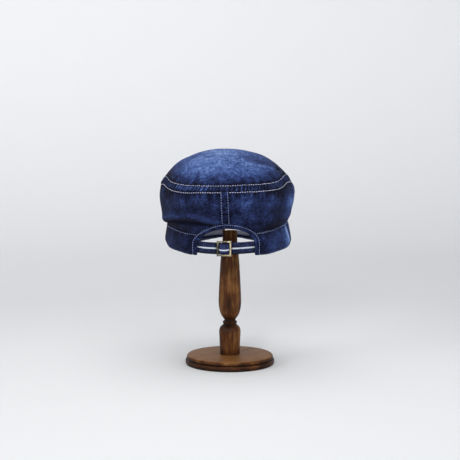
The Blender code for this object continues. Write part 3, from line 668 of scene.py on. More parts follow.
def side_relief(angle, level, point):
    """Gathers and drape under the welt, ease and sag over the band, dents, a wrinkle beside the strip, and
    painted shade under the welt's row, along the band seam and beside the strip.
    """
    low, high = climb_between(1.0, level), climb_between(level, welt_edge("welt_low", angle))
    gather = 0.75 * ripple(angle, high / 0.030, 0.0050, 21.0) + 0.22 * pleats(angle, 0.0064, 22.0)
    slack = noise.noise(Vector((point.x / 0.055, point.y / 0.055, point.z / 0.012 + 0.8 * angle)))
    wrinkle = hump(point.x, seam_x(point.z) - 0.0074, 0.0007) * hump(point.z, 0.249, 0.007) * math.cos(angle)
    beside_strip = hump(abs(point.x - seam_x(point.z)), SEAM_STRIP_WIDTH / 2 + 0.0012, 0.0028)
    lift, fade = added(
        (gather * math.exp(-high / 0.009), 0.0016, 0.58),
        (seam_ripple(angle, high, pitch=0.020, run=0.050, reach=0.022, seed=25.0), 0.0016, 0.18),
        (seam_ripple(angle, low, pitch=0.0095, run=0.030, reach=0.008, seed=31.0), 0.0013, 0.13),
        (blotch(point, size=0.042, seed=4.0), 0.0017, 0.22),
        (blotch(point, size=0.017, seed=9.0), 0.0005, 0.18),
        (slack, 0.0007, 0.12),
        (wrinkle, 0.0008, 0.22),
        (hump(high, STITCH_INSET, 0.0010), -0.0004, 0.0),
        # Painted shade under the welt's row, along the band seam and beside the felled strip
        (hump(high, 0.0010, 0.0046), 0.0, -0.24),
        (hump(low, 0.0, 0.010), 0.0, -0.10),
        (beside_strip * (math.cos(angle) > 0.5), 0.0, -0.18),
    )
    tuck_lift, tuck_shade = tuck_relief(wrapped(angle), low, point)
    lift = (lift + tuck_lift) * from_edge(low, 0.0016) * from_edge(high, 0.0016)
    return lift, SIDE_FADE + fade + tuck_shade + washed_here(angle, level)


def band_relief(angle, level, point):
    """Gathers under the seam, drape, dents, folds beside the arch, the hem drawn down at its row, and painted
    shade beside the arch, under the seam and in the hem's dint.
    """
    low, high = climb_between(0.0, level), climb_between(level, 1.0)
    beside_arch = math.exp(-max(0.0, abs(wrapped(angle)) - 0.52) / 0.10)
    streak = 1 + 1.6 * ripple(angle, high / 0.050, pitch=0.0090, seed=52.0)
    lift, fade = added(
        (seam_ripple(angle, high, pitch=0.0090, run=0.030, reach=0.008, seed=41.0), 0.0011, 0.26),
        (ripple(angle, high / 0.060, pitch=0.024, seed=45.0), 0.0010, 0.16),
        (ripple(angle, high / 0.040, pitch=0.0085, seed=49.0) * beside_arch, 0.0012, 0.26),
        (blotch(point, size=0.034, seed=6.0), 0.0012, 0.18),
        # Painted shade beside the arch
        (beside_arch, 0.0, -0.16),
        (streak * washed_here(angle, level), 0.0, 1.0),
        (hump(high, STITCH_INSET, 0.0010), -0.0004, 0.0),
        # Painted shade under the seam
        (hump(high, 0.0, 0.0040), 0.0, -0.10),
        (hump(low, HEM_HEIGHT, 0.0010), -0.0005, 0.0),
        # Painted shade in the hem's dint
        (hump(low, HEM_HEIGHT, 0.0012), 0.0, -0.10),
        (hump(low, HEM_HEIGHT - 0.0022, 0.0014), 0.0, 0.12),
    )
    return lift * from_edge(low, 0.0012) * from_edge(high, 0.0016), BAND_FADE + fade


RELIEFS = (band_relief, side_relief, welt_relief, top_relief)


def cloth_at(storey, angle, level, lift=0.0):
    """Point, normal and fade with painted shade of a storey's cloth at an angle and level, raised by a lift."""
    point, normal = cap_frame(angle, level)
    relief, fade = RELIEFS[storey](angle, level, point)
    return point + (relief + lift) * normal, normal, fade


# Mesh helpers


def smooth_mesh(name, shape, sharp=math.radians(40)):
    """A smooth-shaded mesh from a bmesh, which is freed."""
    mesh = bpy.data.meshes.new(name)
    shape.to_mesh(mesh)
    shape.free()
    mesh.shade_smooth()
    mesh.set_sharp_from_angle(angle=sharp)
    return mesh


def new_piece(name, mesh, material, slot, replaced=()):
    """A piece of the object in place, riding on the part's one body."""
    piece = bpy.data.objects.new(name, mesh)
    bpy.context.scene.collection.objects.link(piece)
    mesh.materials.append(material)
    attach(piece, "root")
    if replaced:
        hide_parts(*replaced)
    return piece


def draped_grid(columns, rows, place, closed=False):
    """A grid of cloth laid on a surface, with its two ends joined if closed.

    place gives a point, a position in the weave and a fade with painted shade for two shares, along the columns
    and the rows.
    """
    shape = bmesh.new()
    weave = shape.loops.layers.uv.new("weave")
    fade_and_shade_layer = shape.verts.layers.float.new("fade")
    bmesh.ops.create_grid(shape, x_segments=columns, y_segments=rows, size=0.5)
    weaves = {}
    for vert in shape.verts:
        vert.co, weaves[vert], vert[fade_and_shade_layer] = place(vert.co.x + 0.5, vert.co.y + 0.5)
    for face in shape.faces:
        for loop in face.loops:
            loop[weave].uv = weaves[loop.vert]
    if closed:
        bmesh.ops.remove_doubles(shape, verts=shape.verts, dist=1e-6)
        bmesh.ops.dissolve_degenerate(shape, edges=shape.edges, dist=1e-7)
    return shape


def face_out(shape, inside):
    """Turns the faces of an open surface away from a point inside it."""
    bmesh.ops.recalc_face_normals(shape, faces=shape.faces)
    outward = 0.0
    for face in shape.faces:
        outward += face.normal.dot(face.calc_center_median() - inside) * face.calc_area()
    if outward < 0:
        bmesh.ops.reverse_faces(shape, faces=shape.faces)


CAP_CENTRE = Vector((CAP_SHIFT, 0.0, LINE_HEIGHTS["welt_low"] - 0.02))


def cloth_piece(name, grid, place, cloth, node, wall, closed=False, inside=CAP_CENTRE, offset=-1.0):
    """A panel of cloth with a wall, laid as a grid of columns and rows.

    cloth holds the panel's material and slot, and the slot is not used; node is the solid that it replaces and
    inside a point behind it. The wall goes inwards from the outer skin, or to both sides of it where the offset
    is 0.
    """
    shape = draped_grid(*grid, place, closed)
    face_out(shape, inside)
    material, slot = cloth
    piece = new_piece(name, smooth_mesh(name, shape), material, slot, [node])
    solid = piece.modifiers.new("wall", "SOLIDIFY")
    solid.thickness = wall
    solid.offset = offset
    solid.use_even_offset = False
    return piece


def spun(outline, steps, value_name, value_at):
    """An outline of radius and height turned round the Z axis, with a named value kept at each vertex."""
    shape = bmesh.new()
    layer = shape.verts.layers.float.new(value_name)
    verts = [shape.verts.new((radius, 0, height)) for radius, height in outline]
    edges = [shape.edges.new(pair) for pair in zip(verts, verts[1:])]
    bmesh.ops.spin(
        shape,
        geom=verts + edges,
        cent=(0, 0, 0),
        axis=(0, 0, 1),
        dvec=(0, 0, 0),
        angle=2 * math.pi,
        steps=steps,
        use_merge=True,
    )
    bmesh.ops.remove_doubles(shape, verts=shape.verts, dist=1e-6)
    for vert in shape.verts:
        vert[layer] = value_at(vert.co)
    bmesh.ops.recalc_face_normals(shape, faces=shape.faces)
    return shape


def spaced(start, end, count):
    """Evenly spaced values from start to end, both included."""
    return [start + (end - start) * i / (count - 1) for i in range(count)]


# Node helpers


def plug(tree, node, sockets):
    """Gives a node's inputs their values, or links them to other nodes' outputs."""
    for key, value in sockets.items():
        if isinstance(value, bpy.types.NodeSocket):
            tree.links.new(value, node.inputs[key])
        else:
            node.inputs[key].default_value = value


def add_node(tree, kind, sockets=(), stops=(), **settings):
    """Adds a shader node. Stops are a ramp's places and linear colours, settings the node's properties."""
    node = tree.nodes.new("ShaderNode" + kind)
    for name, value in settings.items():
        setattr(node, name, value)
    plug(tree, node, dict(sockets))
    if stops:
        elements = node.color_ramp.elements
        while len(elements) < len(stops):
            elements.new(0.5)
        for element, (place, colour) in zip(elements, stops):
            element.position = place
            element.color = (*colour, 1.0)
    return node


def new_material(name):
    """An empty node material with its shader and output."""
    material = bpy.data.materials.new(name)
    material.use_nodes = True
    tree = material.node_tree
    tree.nodes.clear()
    shader = add_node(tree, "BsdfPrincipled")
    add_node(tree, "OutputMaterial", {"Surface": shader.outputs["BSDF"]})
    return material, tree, shader


def speckle(tree, source, size, detail=3.0, roughness=0.55):
    """Noise whose blotches have the given size in metres along each axis."""
    scale = [1 / length for length in size]
    scaled = add_node(tree, "Mapping", {"Scale": scale, "Vector": source}).outputs["Vector"]
    sockets = {"Scale": 1.0, "Detail": detail, "Roughness": roughness, "Vector": scaled}
    return add_node(tree, "TexNoise", sockets).outputs["Fac"]


def fine_lines(tree, source, period, slant=0.0):
    """Even lines, a period in metres apart, turned by a slant on a position."""
    turned = add_node(tree, "Mapping", {"Rotation": (0, 0, slant), "Vector": source}).outputs["Vector"]
    sockets = {"Scale": math.pi / 10 / period, "Distortion": 0.0, "Vector": turned}
    return add_node(tree, "TexWave", sockets, wave_type="BANDS", bands_direction="X").outputs["Fac"]


def weighted_sum(tree, terms, constant=0.0, clamp=False):
    """A constant and the terms' outputs, each times its weight, in all."""
    total = constant
    for output, weight in terms:
        total = add_node(tree, "Math", {0: output, 1: weight, 2: total}, operation="MULTIPLY_ADD").outputs[0]
    total.node.use_clamp = clamp
    return total


# Materials

# Settings of a mix node that multiplies two colours
MULTIPLY = {"data_type": "RGBA", "blend_type": "MULTIPLY"}


def washed_denim(name, dyes, contrast):
    """Indigo twill, yarn-dyed and stone-washed: the surface yarns fade on ridges and stay dark in folds.

    The eye gets a matt cloth with fine diagonal wales, pale slubs both ways of the weave and cloudy wear. The
    wales of real denim are 0.8 mm apart; here they are 1.5 mm, so that they still show.
    """
    material, tree, shader = new_material(name)
    weave = add_node(tree, "UVMap", uv_map="weave").outputs["UV"]
    place = add_node(tree, "TexCoord").outputs["Object"]
    # The fade attribute holds the dye's fade with painted shade and light added: darker in the tuck, the notch,
    # hollows and beside seams and rows, paler on the roll over the tuck, in the top's middle and on the right
    # side
    fade = add_node(tree, "Attribute", attribute_name="fade").outputs["Fac"]
    warp = speckle(tree, weave, (0.0020, 0.0075, 1.0), 2.0, 0.6)
    weft = speckle(tree, weave, (0.0070, 0.0022, 1.0), 2.0, 0.6)
    wales = fine_lines(tree, weave, 0.0015, math.radians(28))
    clouds = ((0.024, 4.0, 0.40), (0.0095, 3.0, 0.56), (0.0034, 2.0, 0.62))
    layers = [(speckle(tree, place, [size] * 3, detail, 0.6), weight) for size, detail, weight in clouds]
    layers += [(warp, 0.44), (weft, 0.52), (wales, 0.06)]
    terms = [(fade, 1.0)] + [(layer, weight * contrast) for layer, weight in layers]
    # A layer is 0.5 on average, so half of all weights is taken off again
    total = weighted_sum(tree, terms, -contrast * sum(weight for _, weight in layers) / 2)
    stops = [(index / (len(dyes) - 1), dye) for index, dye in enumerate(dyes)]
    ramp = add_node(tree, "ValToRGB", {"Fac": total}, stops)
    threads = weighted_sum(tree, ((wales, 1.0), (warp, 0.8), (weft, 0.5)))
    bump = add_node(tree, "Bump", {"Height": threads, "Distance": 0.00025})
    plug(tree, shader, {
        "Base Color": ramp.outputs["Color"],
        "Normal": bump.outputs["Normal"],
        "Roughness": 0.92,
        "Sheen Weight": 0.02,
        "Specular IOR Level": 0.06,
    })
    return material


def sewing_thread(name, colour, wear):
    """Twisted cotton thread: matt, with a fine slant of darker plies 0.6 mm apart, and unevenly worn."""
    material, tree, shader = new_material(name)
    place = add_node(tree, "TexCoord").outputs["Object"]
    plies = fine_lines(tree, place, 0.0006, math.radians(40))
    patches = speckle(tree, place, (0.009, 0.009, 0.009))
    shade = weighted_sum(tree, ((plies, 0.25), (patches, wear)), 0.775 - wear / 2)
    mixed = add_node(tree, "Mix", {0: 1.0, 6: (*colour, 1.0), 7: shade}, **MULTIPLY)
    bump = add_node(tree, "Bump", {"Height": plies, "Distance": 0.0001})
    plug(tree, shader, {
        "Base Color": mixed.outputs[2],
        "Normal": bump.outputs["Normal"],
        "Roughness": 0.75,
    })
    return material


def striped_strap(name, ground, stripe):
    """Woven cotton strap: ribs across it, rubbed pale in patches, and one pale stripe 2.1 mm wide along it.

    It is darkened with painted shade past and under the buckle's side bars and under its top bar, darker along
    its lower edge, and lit with painted light in the buckle's window: the strap's fade says how lit it is. The
    ribs are
    2.8 mm apart, three times as far as on a real strap, so that they still show.
    """
    material, tree, shader = new_material(name)
    weave = add_node(tree, "UVMap", uv_map="weave").outputs["UV"]
    across = add_node(tree, "SeparateXYZ", {"Vector": weave}).outputs["Y"]
    lit_and_rubbed = add_node(tree, "Attribute", attribute_name="fade").outputs["Fac"]
    ribs = fine_lines(tree, weave, 0.0028)
    slubs = speckle(tree, weave, (0.0050, 0.0012, 1.0), 2.0)
    patches = speckle(tree, weave, (0.0075, 0.0050, 1.0), 2.0)
    # In the buckle's window the painted light passes 1, which also turns the rubbed ribs on
    rubbed = weighted_sum(tree, ((patches, 9.0), (lit_and_rubbed, 10.0)), -14.2, clamp=True)
    rubbed_ribs = add_node(tree, "Math", {0: ribs, 1: rubbed}, operation="MULTIPLY").outputs[0]
    off_centre = add_node(tree, "Math", {0: across}, operation="ABSOLUTE").outputs[0]
    on_stripe = add_node(tree, "Math", {0: off_centre, 1: 0.00105}, operation="LESS_THAN").outputs[0]
    ground_shade = weighted_sum(tree, ((slubs, 1.5), (rubbed_ribs, 2.8)), 0.20)
    stripe_shade = weighted_sum(tree, ((ribs, 0.12),), 0.85)
    body = add_node(tree, "Mix", {0: 1.0, 6: (*ground, 1.0), 7: ground_shade}, **MULTIPLY)
    pale = add_node(tree, "Mix", {0: 1.0, 6: (*stripe, 1.0), 7: stripe_shade}, **MULTIPLY)
    sides = {0: on_stripe, 6: body.outputs[2], 7: pale.outputs[2]}
    striped = add_node(tree, "Mix", sides, data_type="RGBA")
    # Painted shade and light multiplied into the strap's colour
    shaded_strap = add_node(tree, "Mix", {0: 1.0, 6: striped.outputs[2], 7: lit_and_rubbed}, **MULTIPLY)
    height = weighted_sum(tree, ((ribs, 1.0), (on_stripe, 0.8)))
    bump = add_node(tree, "Bump", {"Height": height, "Distance": 0.00018})
    plug(tree, shader, {
        "Base Color": shaded_strap.outputs[2],
        "Normal": bump.outputs["Normal"],
        "Roughness": 0.85,
        "Specular IOR Level": 0.15,
    })
    return material


def ribbed_tape(name, ground, line):
    """Woven cotton tape: fine ribs up it, 1.2 mm apart, and darker lines along it, 9 mm apart."""
    material, tree, shader = new_material(name)
    weave = add_node(tree, "UVMap", uv_map="weave").outputs["UV"]
    across = add_node(tree, "SeparateXYZ", {"Vector": weave}).outputs["Y"]
    ribs = fine_lines(tree, weave, 0.0012)
    slubs = speckle(tree, weave, (0.0040, 0.0010, 1.0), 2.0)
    from_line = add_node(tree, "Math", {0: across, 1: 0.0045}, operation="PINGPONG").outputs[0]
    on_line = add_node(tree, "Math", {0: from_line, 1: 0.0011}, operation="LESS_THAN").outputs[0]
    lined = add_node(tree, "Mix", {0: on_line, 6: (*ground, 1.0), 7: (*line, 1.0)}, data_type="RGBA")
    shade = weighted_sum(tree, ((slubs, 0.5), (ribs, 0.2)), 0.65)
    shaded = add_node(tree, "Mix", {0: 1.0, 6: lined.outputs[2], 7: shade}, **MULTIPLY)
    bump = add_node(tree, "Bump", {"Height": ribs, "Distance": 0.0002})
    plug(tree, shader, {
        "Base Color": shaded.outputs[2],
        "Normal": bump.outputs["Normal"],
        "Roughness": 0.9,
    })
    return material


def aged_brass_with_painted_light(name, lit_brass, shade_and_tarnish, middle):
    """Antiqued brass, stamped and tarnished by use. middle is the buckle's own x.

    The eye gets painted light: a bright face on the -X side of that middle, where the light falls, and painted
    shade in brown-green tarnish on its other side, with tarnish mottling both and fine scratches all over.
    """
    material, tree, shader = new_material(name)
    place = add_node(tree, "TexCoord").outputs["Object"]
    tarnish = speckle(tree, place, (0.0035, 0.0035, 0.0035), 5.0, 0.65)
    scratches = speckle(tree, place, (0.0050, 0.0050, 0.0004), 2.0)
    across = add_node(tree, "SeparateXYZ", {"Vector": place}).outputs["X"]
    # Painted light: brighter towards -X and darker towards +X, broken up by the tarnish
    light_slope = 14.0
    light_and_tarnish = weighted_sum(tree, ((across, -light_slope), (tarnish, 1.0)), light_slope * middle)
    ramp = add_node(tree, "ValToRGB", {"Fac": light_and_tarnish}, ((0.40, shade_and_tarnish), (0.64, lit_brass)))
    bump = add_node(tree, "Bump", {"Height": scratches, "Distance": 0.00005})
    plug(tree, shader, {
        "Base Color": ramp.outputs["Color"],
        "Normal": bump.outputs["Normal"],
        "Roughness": weighted_sum(tree, ((tarnish, -0.25),), 0.55),
        "Metallic": 1.0,
    })
    return material


def stained_wood(name, dark, middle, light, grain_axis, grain_turn=0.0):
    """Turned beech under a walnut stain and satin lacquer.

    The stain gathers in the grain, so the eye gets streaks along the wood 2 to 4 mm wide, short dark flecks and
    a few clouded patches; a value kept on each vertex adds stain and painted shade in the grooves, painted
    shade in hollows and under edges, and painted light on lit faces.
    """
    material, tree, shader = new_material(name)
    own = add_node(tree, "TexCoord").outputs["Object"]
    place = add_node(tree, "Mapping", {"Rotation": (0, 0, grain_turn), "Vector": own}).outputs["Vector"]
    stain_and_shade = add_node(tree, "Attribute", attribute_name="stain_and_shade").outputs["Fac"]
    streak_size = [0.0035, 0.0035, 0.0035]
    streak_size[grain_axis] = 0.070
    fleck_size = [0.0009, 0.0009, 0.0009]
    fleck_size[grain_axis] = 0.0090
    streaks = speckle(tree, place, streak_size, 4.0, 0.6)
    flecks = speckle(tree, place, fleck_size, 2.0, 0.5)
    clouds = speckle(tree, place, (0.022, 0.022, 0.034), 2.0, 0.5)
    # A ramp ends at 1, so the total is divided by what it reaches on bare wood, half as light again
    reach = 1.5
    layers = ((streaks, 0.75), (clouds, 0.75), (flecks, 0.22), (stain_and_shade, -1.0))
    total = weighted_sum(tree, [(layer, weight / reach) for layer, weight in layers])
    bare = tuple(min(1.0, reach * value) for value in light)
    stops = ((0.28, dark), (0.53, middle), (0.67, light), (0.97, bare))
    ramp = add_node(tree, "ValToRGB", {"Fac": total}, stops)
    pores = weighted_sum(tree, ((streaks, 0.4), (flecks, 1.0)))
    bump = add_node(tree, "Bump", {"Height": pores, "Distance": 0.00012})
    plug(tree, shader, {
        "Base Color": ramp.outputs["Color"],
        "Normal": bump.outputs["Normal"],
        "Roughness": weighted_sum(tree, ((flecks, 0.20),), 0.42),
        "Specular IOR Level": 0.10,
        "Coat Weight": 0.05,
        "Coat Roughness": 0.25,
    })
    return material


def studio_paper(name, floor, shade, wall):
    """Matt paper sweep, pale on the table, a little darker in its curve with painted shade, and pale again up
    the wall.
    """
    material, tree, shader = new_material(name)
    run = add_node(tree, "Attribute", attribute_name="run").outputs["Fac"]
    stops = ((0.08, floor), (0.27, shade), (0.46, shade), (0.85, wall))
    ramp = add_node(tree, "ValToRGB", {"Fac": run}, stops)
    ramp.color_ramp.interpolation = "EASE"
    plug(tree, shader, {
        "Base Color": ramp.outputs["Color"],
        "Roughness": 1.0,
        "Specular IOR Level": 0.0,
    })
    return material


# Settings


def colour_property(name, description, code):
    """A colour setting, from an sRGB hex code."""
    return FloatVectorProperty(
        name=name, description=description, subtype="COLOR", size=3, min=0.0, max=1.0, default=linear(code)
    )


def length_property(name, description, default, low, high):
    """A length setting in metres."""
    return FloatProperty(
        name=name,
        description=description,
        default=default,
        min=low,
        max=high,
        unit="LENGTH",
        subtype="DISTANCE",
    )


class WORKCAP_PG_cloth(bpy.types.PropertyGroup):
    """Sizes and colours of the cloth, its stitching and its buckle."""

    ring_columns: IntProperty(
        name="Ring columns", description="Faces round each cloth panel", default=600, min=120, max=900
    )
    stitch_length: length_property("Stitch length", "Length of one topstitch", 0.0026, 0.001, 0.008)
    stitch_gap: length_property("Stitch gap", "Space between stitches in a row", 0.0009, 0.0002, 0.004)
    thread_width: length_property("Thread width", "Width of the topstitching thread", 0.0011, 0.0003, 0.002)
    indigo_deep: colour_property("Deep indigo", "Dye left in the folds", "#090c1f")
    indigo_dark: colour_property("Dark indigo", "Dye of the side and band", "#1a2240")
    indigo_middle: colour_property("Indigo", "Dye that has begun to wear", "#2c3b69")
    indigo_worn: colour_property("Worn indigo", "Dye of the washed top", "#4c649b")
    indigo_pale: colour_property("Pale indigo", "Dye on the palest slubs", "#829acb")
    thread: colour_property("Thread", "Topstitching thread", "#c6c8e2")
    worn_thread: colour_property("Worn thread", "Thread that has taken the dye", "#7985aa")
    strap: colour_property("Strap", "Ground of the woven strap", "#171c34")
    stripe: colour_property("Stripe", "Stripe down the strap", "#c3ccd8")
    tape: colour_property("Sweatband", "Tape inside the band", "#a9aebf")
    tape_line: colour_property("Sweatband line", "Darker lines in the tape", "#6d7288")
    label: colour_property("Label", "Plain tab inside the back", "#fbf2e8")
    # Painted light on the buckle: the brass colour shows on its lit -X side, the tarnish colour, tarnish and
    # painted shade together, on its +X side
    brass_lit: colour_property("Brass", "Rubbed brass of the buckle", "#d2c5a2")
    brass_shade_and_tarnish: colour_property("Tarnish", "Tarnished brass of the buckle", "#504f43")


class WORKCAP_PG_stand(bpy.types.PropertyGroup):
    """Fineness and colours of the turned stand."""

    sides: IntProperty(name="Sides", description="Steps of the turning", default=128, min=24, max=256)
    wood_dark: colour_property("Dark wood", "Stain in the grain and grooves", "#180b04")
    wood_middle: colour_property("Wood", "Main stain", "#45250e")
    wood_light: colour_property("Light wood", "Wood where the stain is thin", "#764f29")


class WORKCAP_PG_stage(bpy.types.PropertyGroup):
    """The paper sweep and the camera."""

    floor: colour_property("Floor", "Paper on the table", "#e6e7e8")
    shade: colour_property("Curve", "Paper in the curve of the sweep", "#dcdddf")
    wall: colour_property("Wall", "Paper up the wall", "#e8e9eb")
    focal_length: FloatProperty(
        name="Focal length", description="Lens of the camera in millimetres", default=100.17, min=20, max=200
    )
    camera_distance: length_property("Camera distance", "Camera to the stand's axis", 1.880, 0.5, 5.0)
    camera_height: length_property("Camera height", "Camera above the table", 0.399, 0.0, 2.0)
    camera_pitch: FloatProperty(
        name="Camera pitch",
        description="How far the camera looks down",
        default=math.radians(6.05),
        min=0.0,
        max=1.0,
        unit="ROTATION",
        subtype="ANGLE",
    )


# Crown


def weave_at(storey, angle, level, point):
    """Position in the weave: flat across the top panel, round and up the cloth on the upright ones."""
    if storey == 3:
        return point.x, point.y
    return RING_RADIUS * angle, float(np.interp(level, LEVELS, CLIMBS))


def evenly(share):
    """Rows at even distances."""
    return share


def eased(share, ease):
    """A share moved towards its two ends, which puts more rows near the seams."""
    return share - ease * math.sin(2 * math.pi * share) / (2 * math.pi)


def ring_panel(node, storey, grid, edges, cloth, spread=evenly):
    """A panel that runs right round the cap between the two levels that edges gives for an angle.

    It starts at the middle of the front, so that the weave's join is hidden from the back. spread moves its
    rows towards one edge or both.
    """

    def place(u, v):
        angle = math.pi - 2 * math.pi * u
        low, high = edges(angle)
        level = low + (high - low) * spread(v)
        point, _, fade = cloth_at(storey, angle, level)
        return point, weave_at(storey, angle, level, point), fade

    cloth_piece(node + "_cloth", grid, place, cloth, node, CLOTH_WALL, closed=True)


def top_edges(angle):
    return welt_edge("welt_high", angle, SEAM_GAP / 2), 4.0


def welt_edges(angle):
    return welt_edge("welt_low", angle, SEAM_GAP / 2), welt_edge("welt_high", angle, -SEAM_GAP / 2)


def side_edges(angle):
    return side_lower_level(angle), welt_edge("welt_low", angle, -SEAM_GAP / 2)


class WORKCAP_OT_crown(bpy.types.Operator):
    """Sews the crown: the washed top panel, the puckered welt and the full side panel"""

    bl_idname = "workcap.crown"
    bl_label = "Crown"

    def execute(self, context):
        cloth = context.scene.workcap_cloth
        dyes = [getattr(cloth, "indigo_" + name) for name in ("deep", "dark", "middle", "worn", "pale")]
        washed = washed_denim("washed_indigo_twill", dyes, contrast=0.88), "washed_denim"
        dark = washed_denim("indigo_twill", dyes, contrast=0.85), "dark_denim"
        columns = cloth.ring_columns
        ring_panel("crown_top", 3, (columns * 4 // 5, 52), top_edges, washed, lambda v: v**1.35)
        ring_panel("crown_welt", 2, (columns, 12), welt_edges, dark)
        ring_panel("crown_side", 1, (columns * 5 // 6, 58), side_edges, dark, lambda v: eased(v, 0.55))
        return {"FINISHED"}


def dark_denim():
    """The dark twill that the crown's operator has dyed, with its slot."""
    return bpy.data.materials["indigo_twill"], "dark_denim"


# Thickness of the felled strip, and the size of its cloth across and up it
STRIP_WALL = 0.0009
STRIP_WEAVE = (0.013, 0.046)


def back_seam_place(u, v):
    """Angle and level of the felled strip at shares across and up it."""
    x = seam_x(LINE_HEIGHTS["seam"]) + (0.5 - u) * SEAM_STRIP_WIDTH
    x += CROWN_LEAN * SIDE_HEIGHT / (APEX_HEIGHT - RIM_HEIGHT) * v
    low = arch_height(x, BINDING_WIDTH + 2 * SEAM_GAP)
    high = line_height("welt_low", 0.0) - SEAM_GAP
    return back_place(x, low + (high - low) * v)


def back_seam_cloth(u, v):
    """The strip lies on the side panel, with its edges pressed down and small puckers between them."""
    angle, level = back_seam_place(u, v)
    pucker = noise.noise(Vector((2 * u, 11.5 * v, 60.0)))
    lift = 0.0012 + (0.0003 + 0.0005 * pucker) * math.sin(math.pi * u)
    point, normal, _ = cloth_at(1, angle, level, lift)
    fade = STRIP_FADE + 0.30 * pucker + 0.10 * abs(2 * u - 1) ** 6 - 0.08 * (1 - v)
    return point, normal, fade


class WORKCAP_OT_back_seam(bpy.types.Operator):
    """Lays the felled strip down the middle of the back"""

    bl_idname = "workcap.back_seam"
    bl_label = "Back Seam"

    def execute(self, context):
        def place(u, v):
            point, _, fade = back_seam_cloth(u, v)
            return point, (STRIP_WEAVE[0] * u, STRIP_WEAVE[1] * v), fade

        cloth_piece("back_seam_cloth", (14, 56), place, dark_denim(), "back_seam", STRIP_WALL)
        return {"FINISHED"}


# Band

# Roundness of the folded tape's section, the size of its cloth along and round it, and its columns and rows
SECTION_POWER = 2 / 5
BINDING_WEAVE = (0.12, 0.018)
BINDING_GRID = (160, 28)


def arch_place(u, margin):
    """x and height beside the arch's edge at a share of the way round it, from the +X foot to the -X foot."""
    arc = math.pi * (ARCH_WIDTH / 2 + ARCH_RISE) / 2
    along = u * (2 * ARCH_SPRING + arc)
    turn = limited((along - ARCH_SPRING) / arc) * math.pi
    drop = min(0.0, along - ARCH_SPRING) + min(0.0, ARCH_SPRING + arc - along)
    share = 2 / arch_power(math.cos(turn))
    x = ARCH_X + (ARCH_WIDTH / 2 + margin) * signed_power(math.cos(turn), share)
    return x, ARCH_SPRING_HEIGHT + drop + (ARCH_RISE + margin) * abs(math.sin(turn)) ** share


def binding_cloth(u, v):
    """Folded tape: v goes once round its flat section, from the outer edge over the front to the fold."""
    turn = 2 * math.pi * v
    across = signed_power(math.cos(turn), SECTION_POWER)
    through = signed_power(math.sin(turn), SECTION_POWER)
    margin = BINDING_WIDTH / 2 * (1 + across)
    pucker = noise.noise(Vector((u * 26, margin * 300, 81.0)))
    half = CLOTH_WALL / 2 + BINDING_PROUD
    half += 0.0003 * pucker * (1 - abs(across) ** 3) - 0.0003 * hump(margin, ARCH_ROW, 0.0008)
    point, normal = cap_frame(*back_place(*arch_place(u, margin)))
    fade = BINDING_FADE + 0.40 * pucker + 0.10 * hump(margin, 0.0008, 0.0012)
    fade += 0.12 * hump(margin, 0.0066, 0.0007)
    return point - (CLOTH_WALL / 2 - half * through) * normal, normal, fade


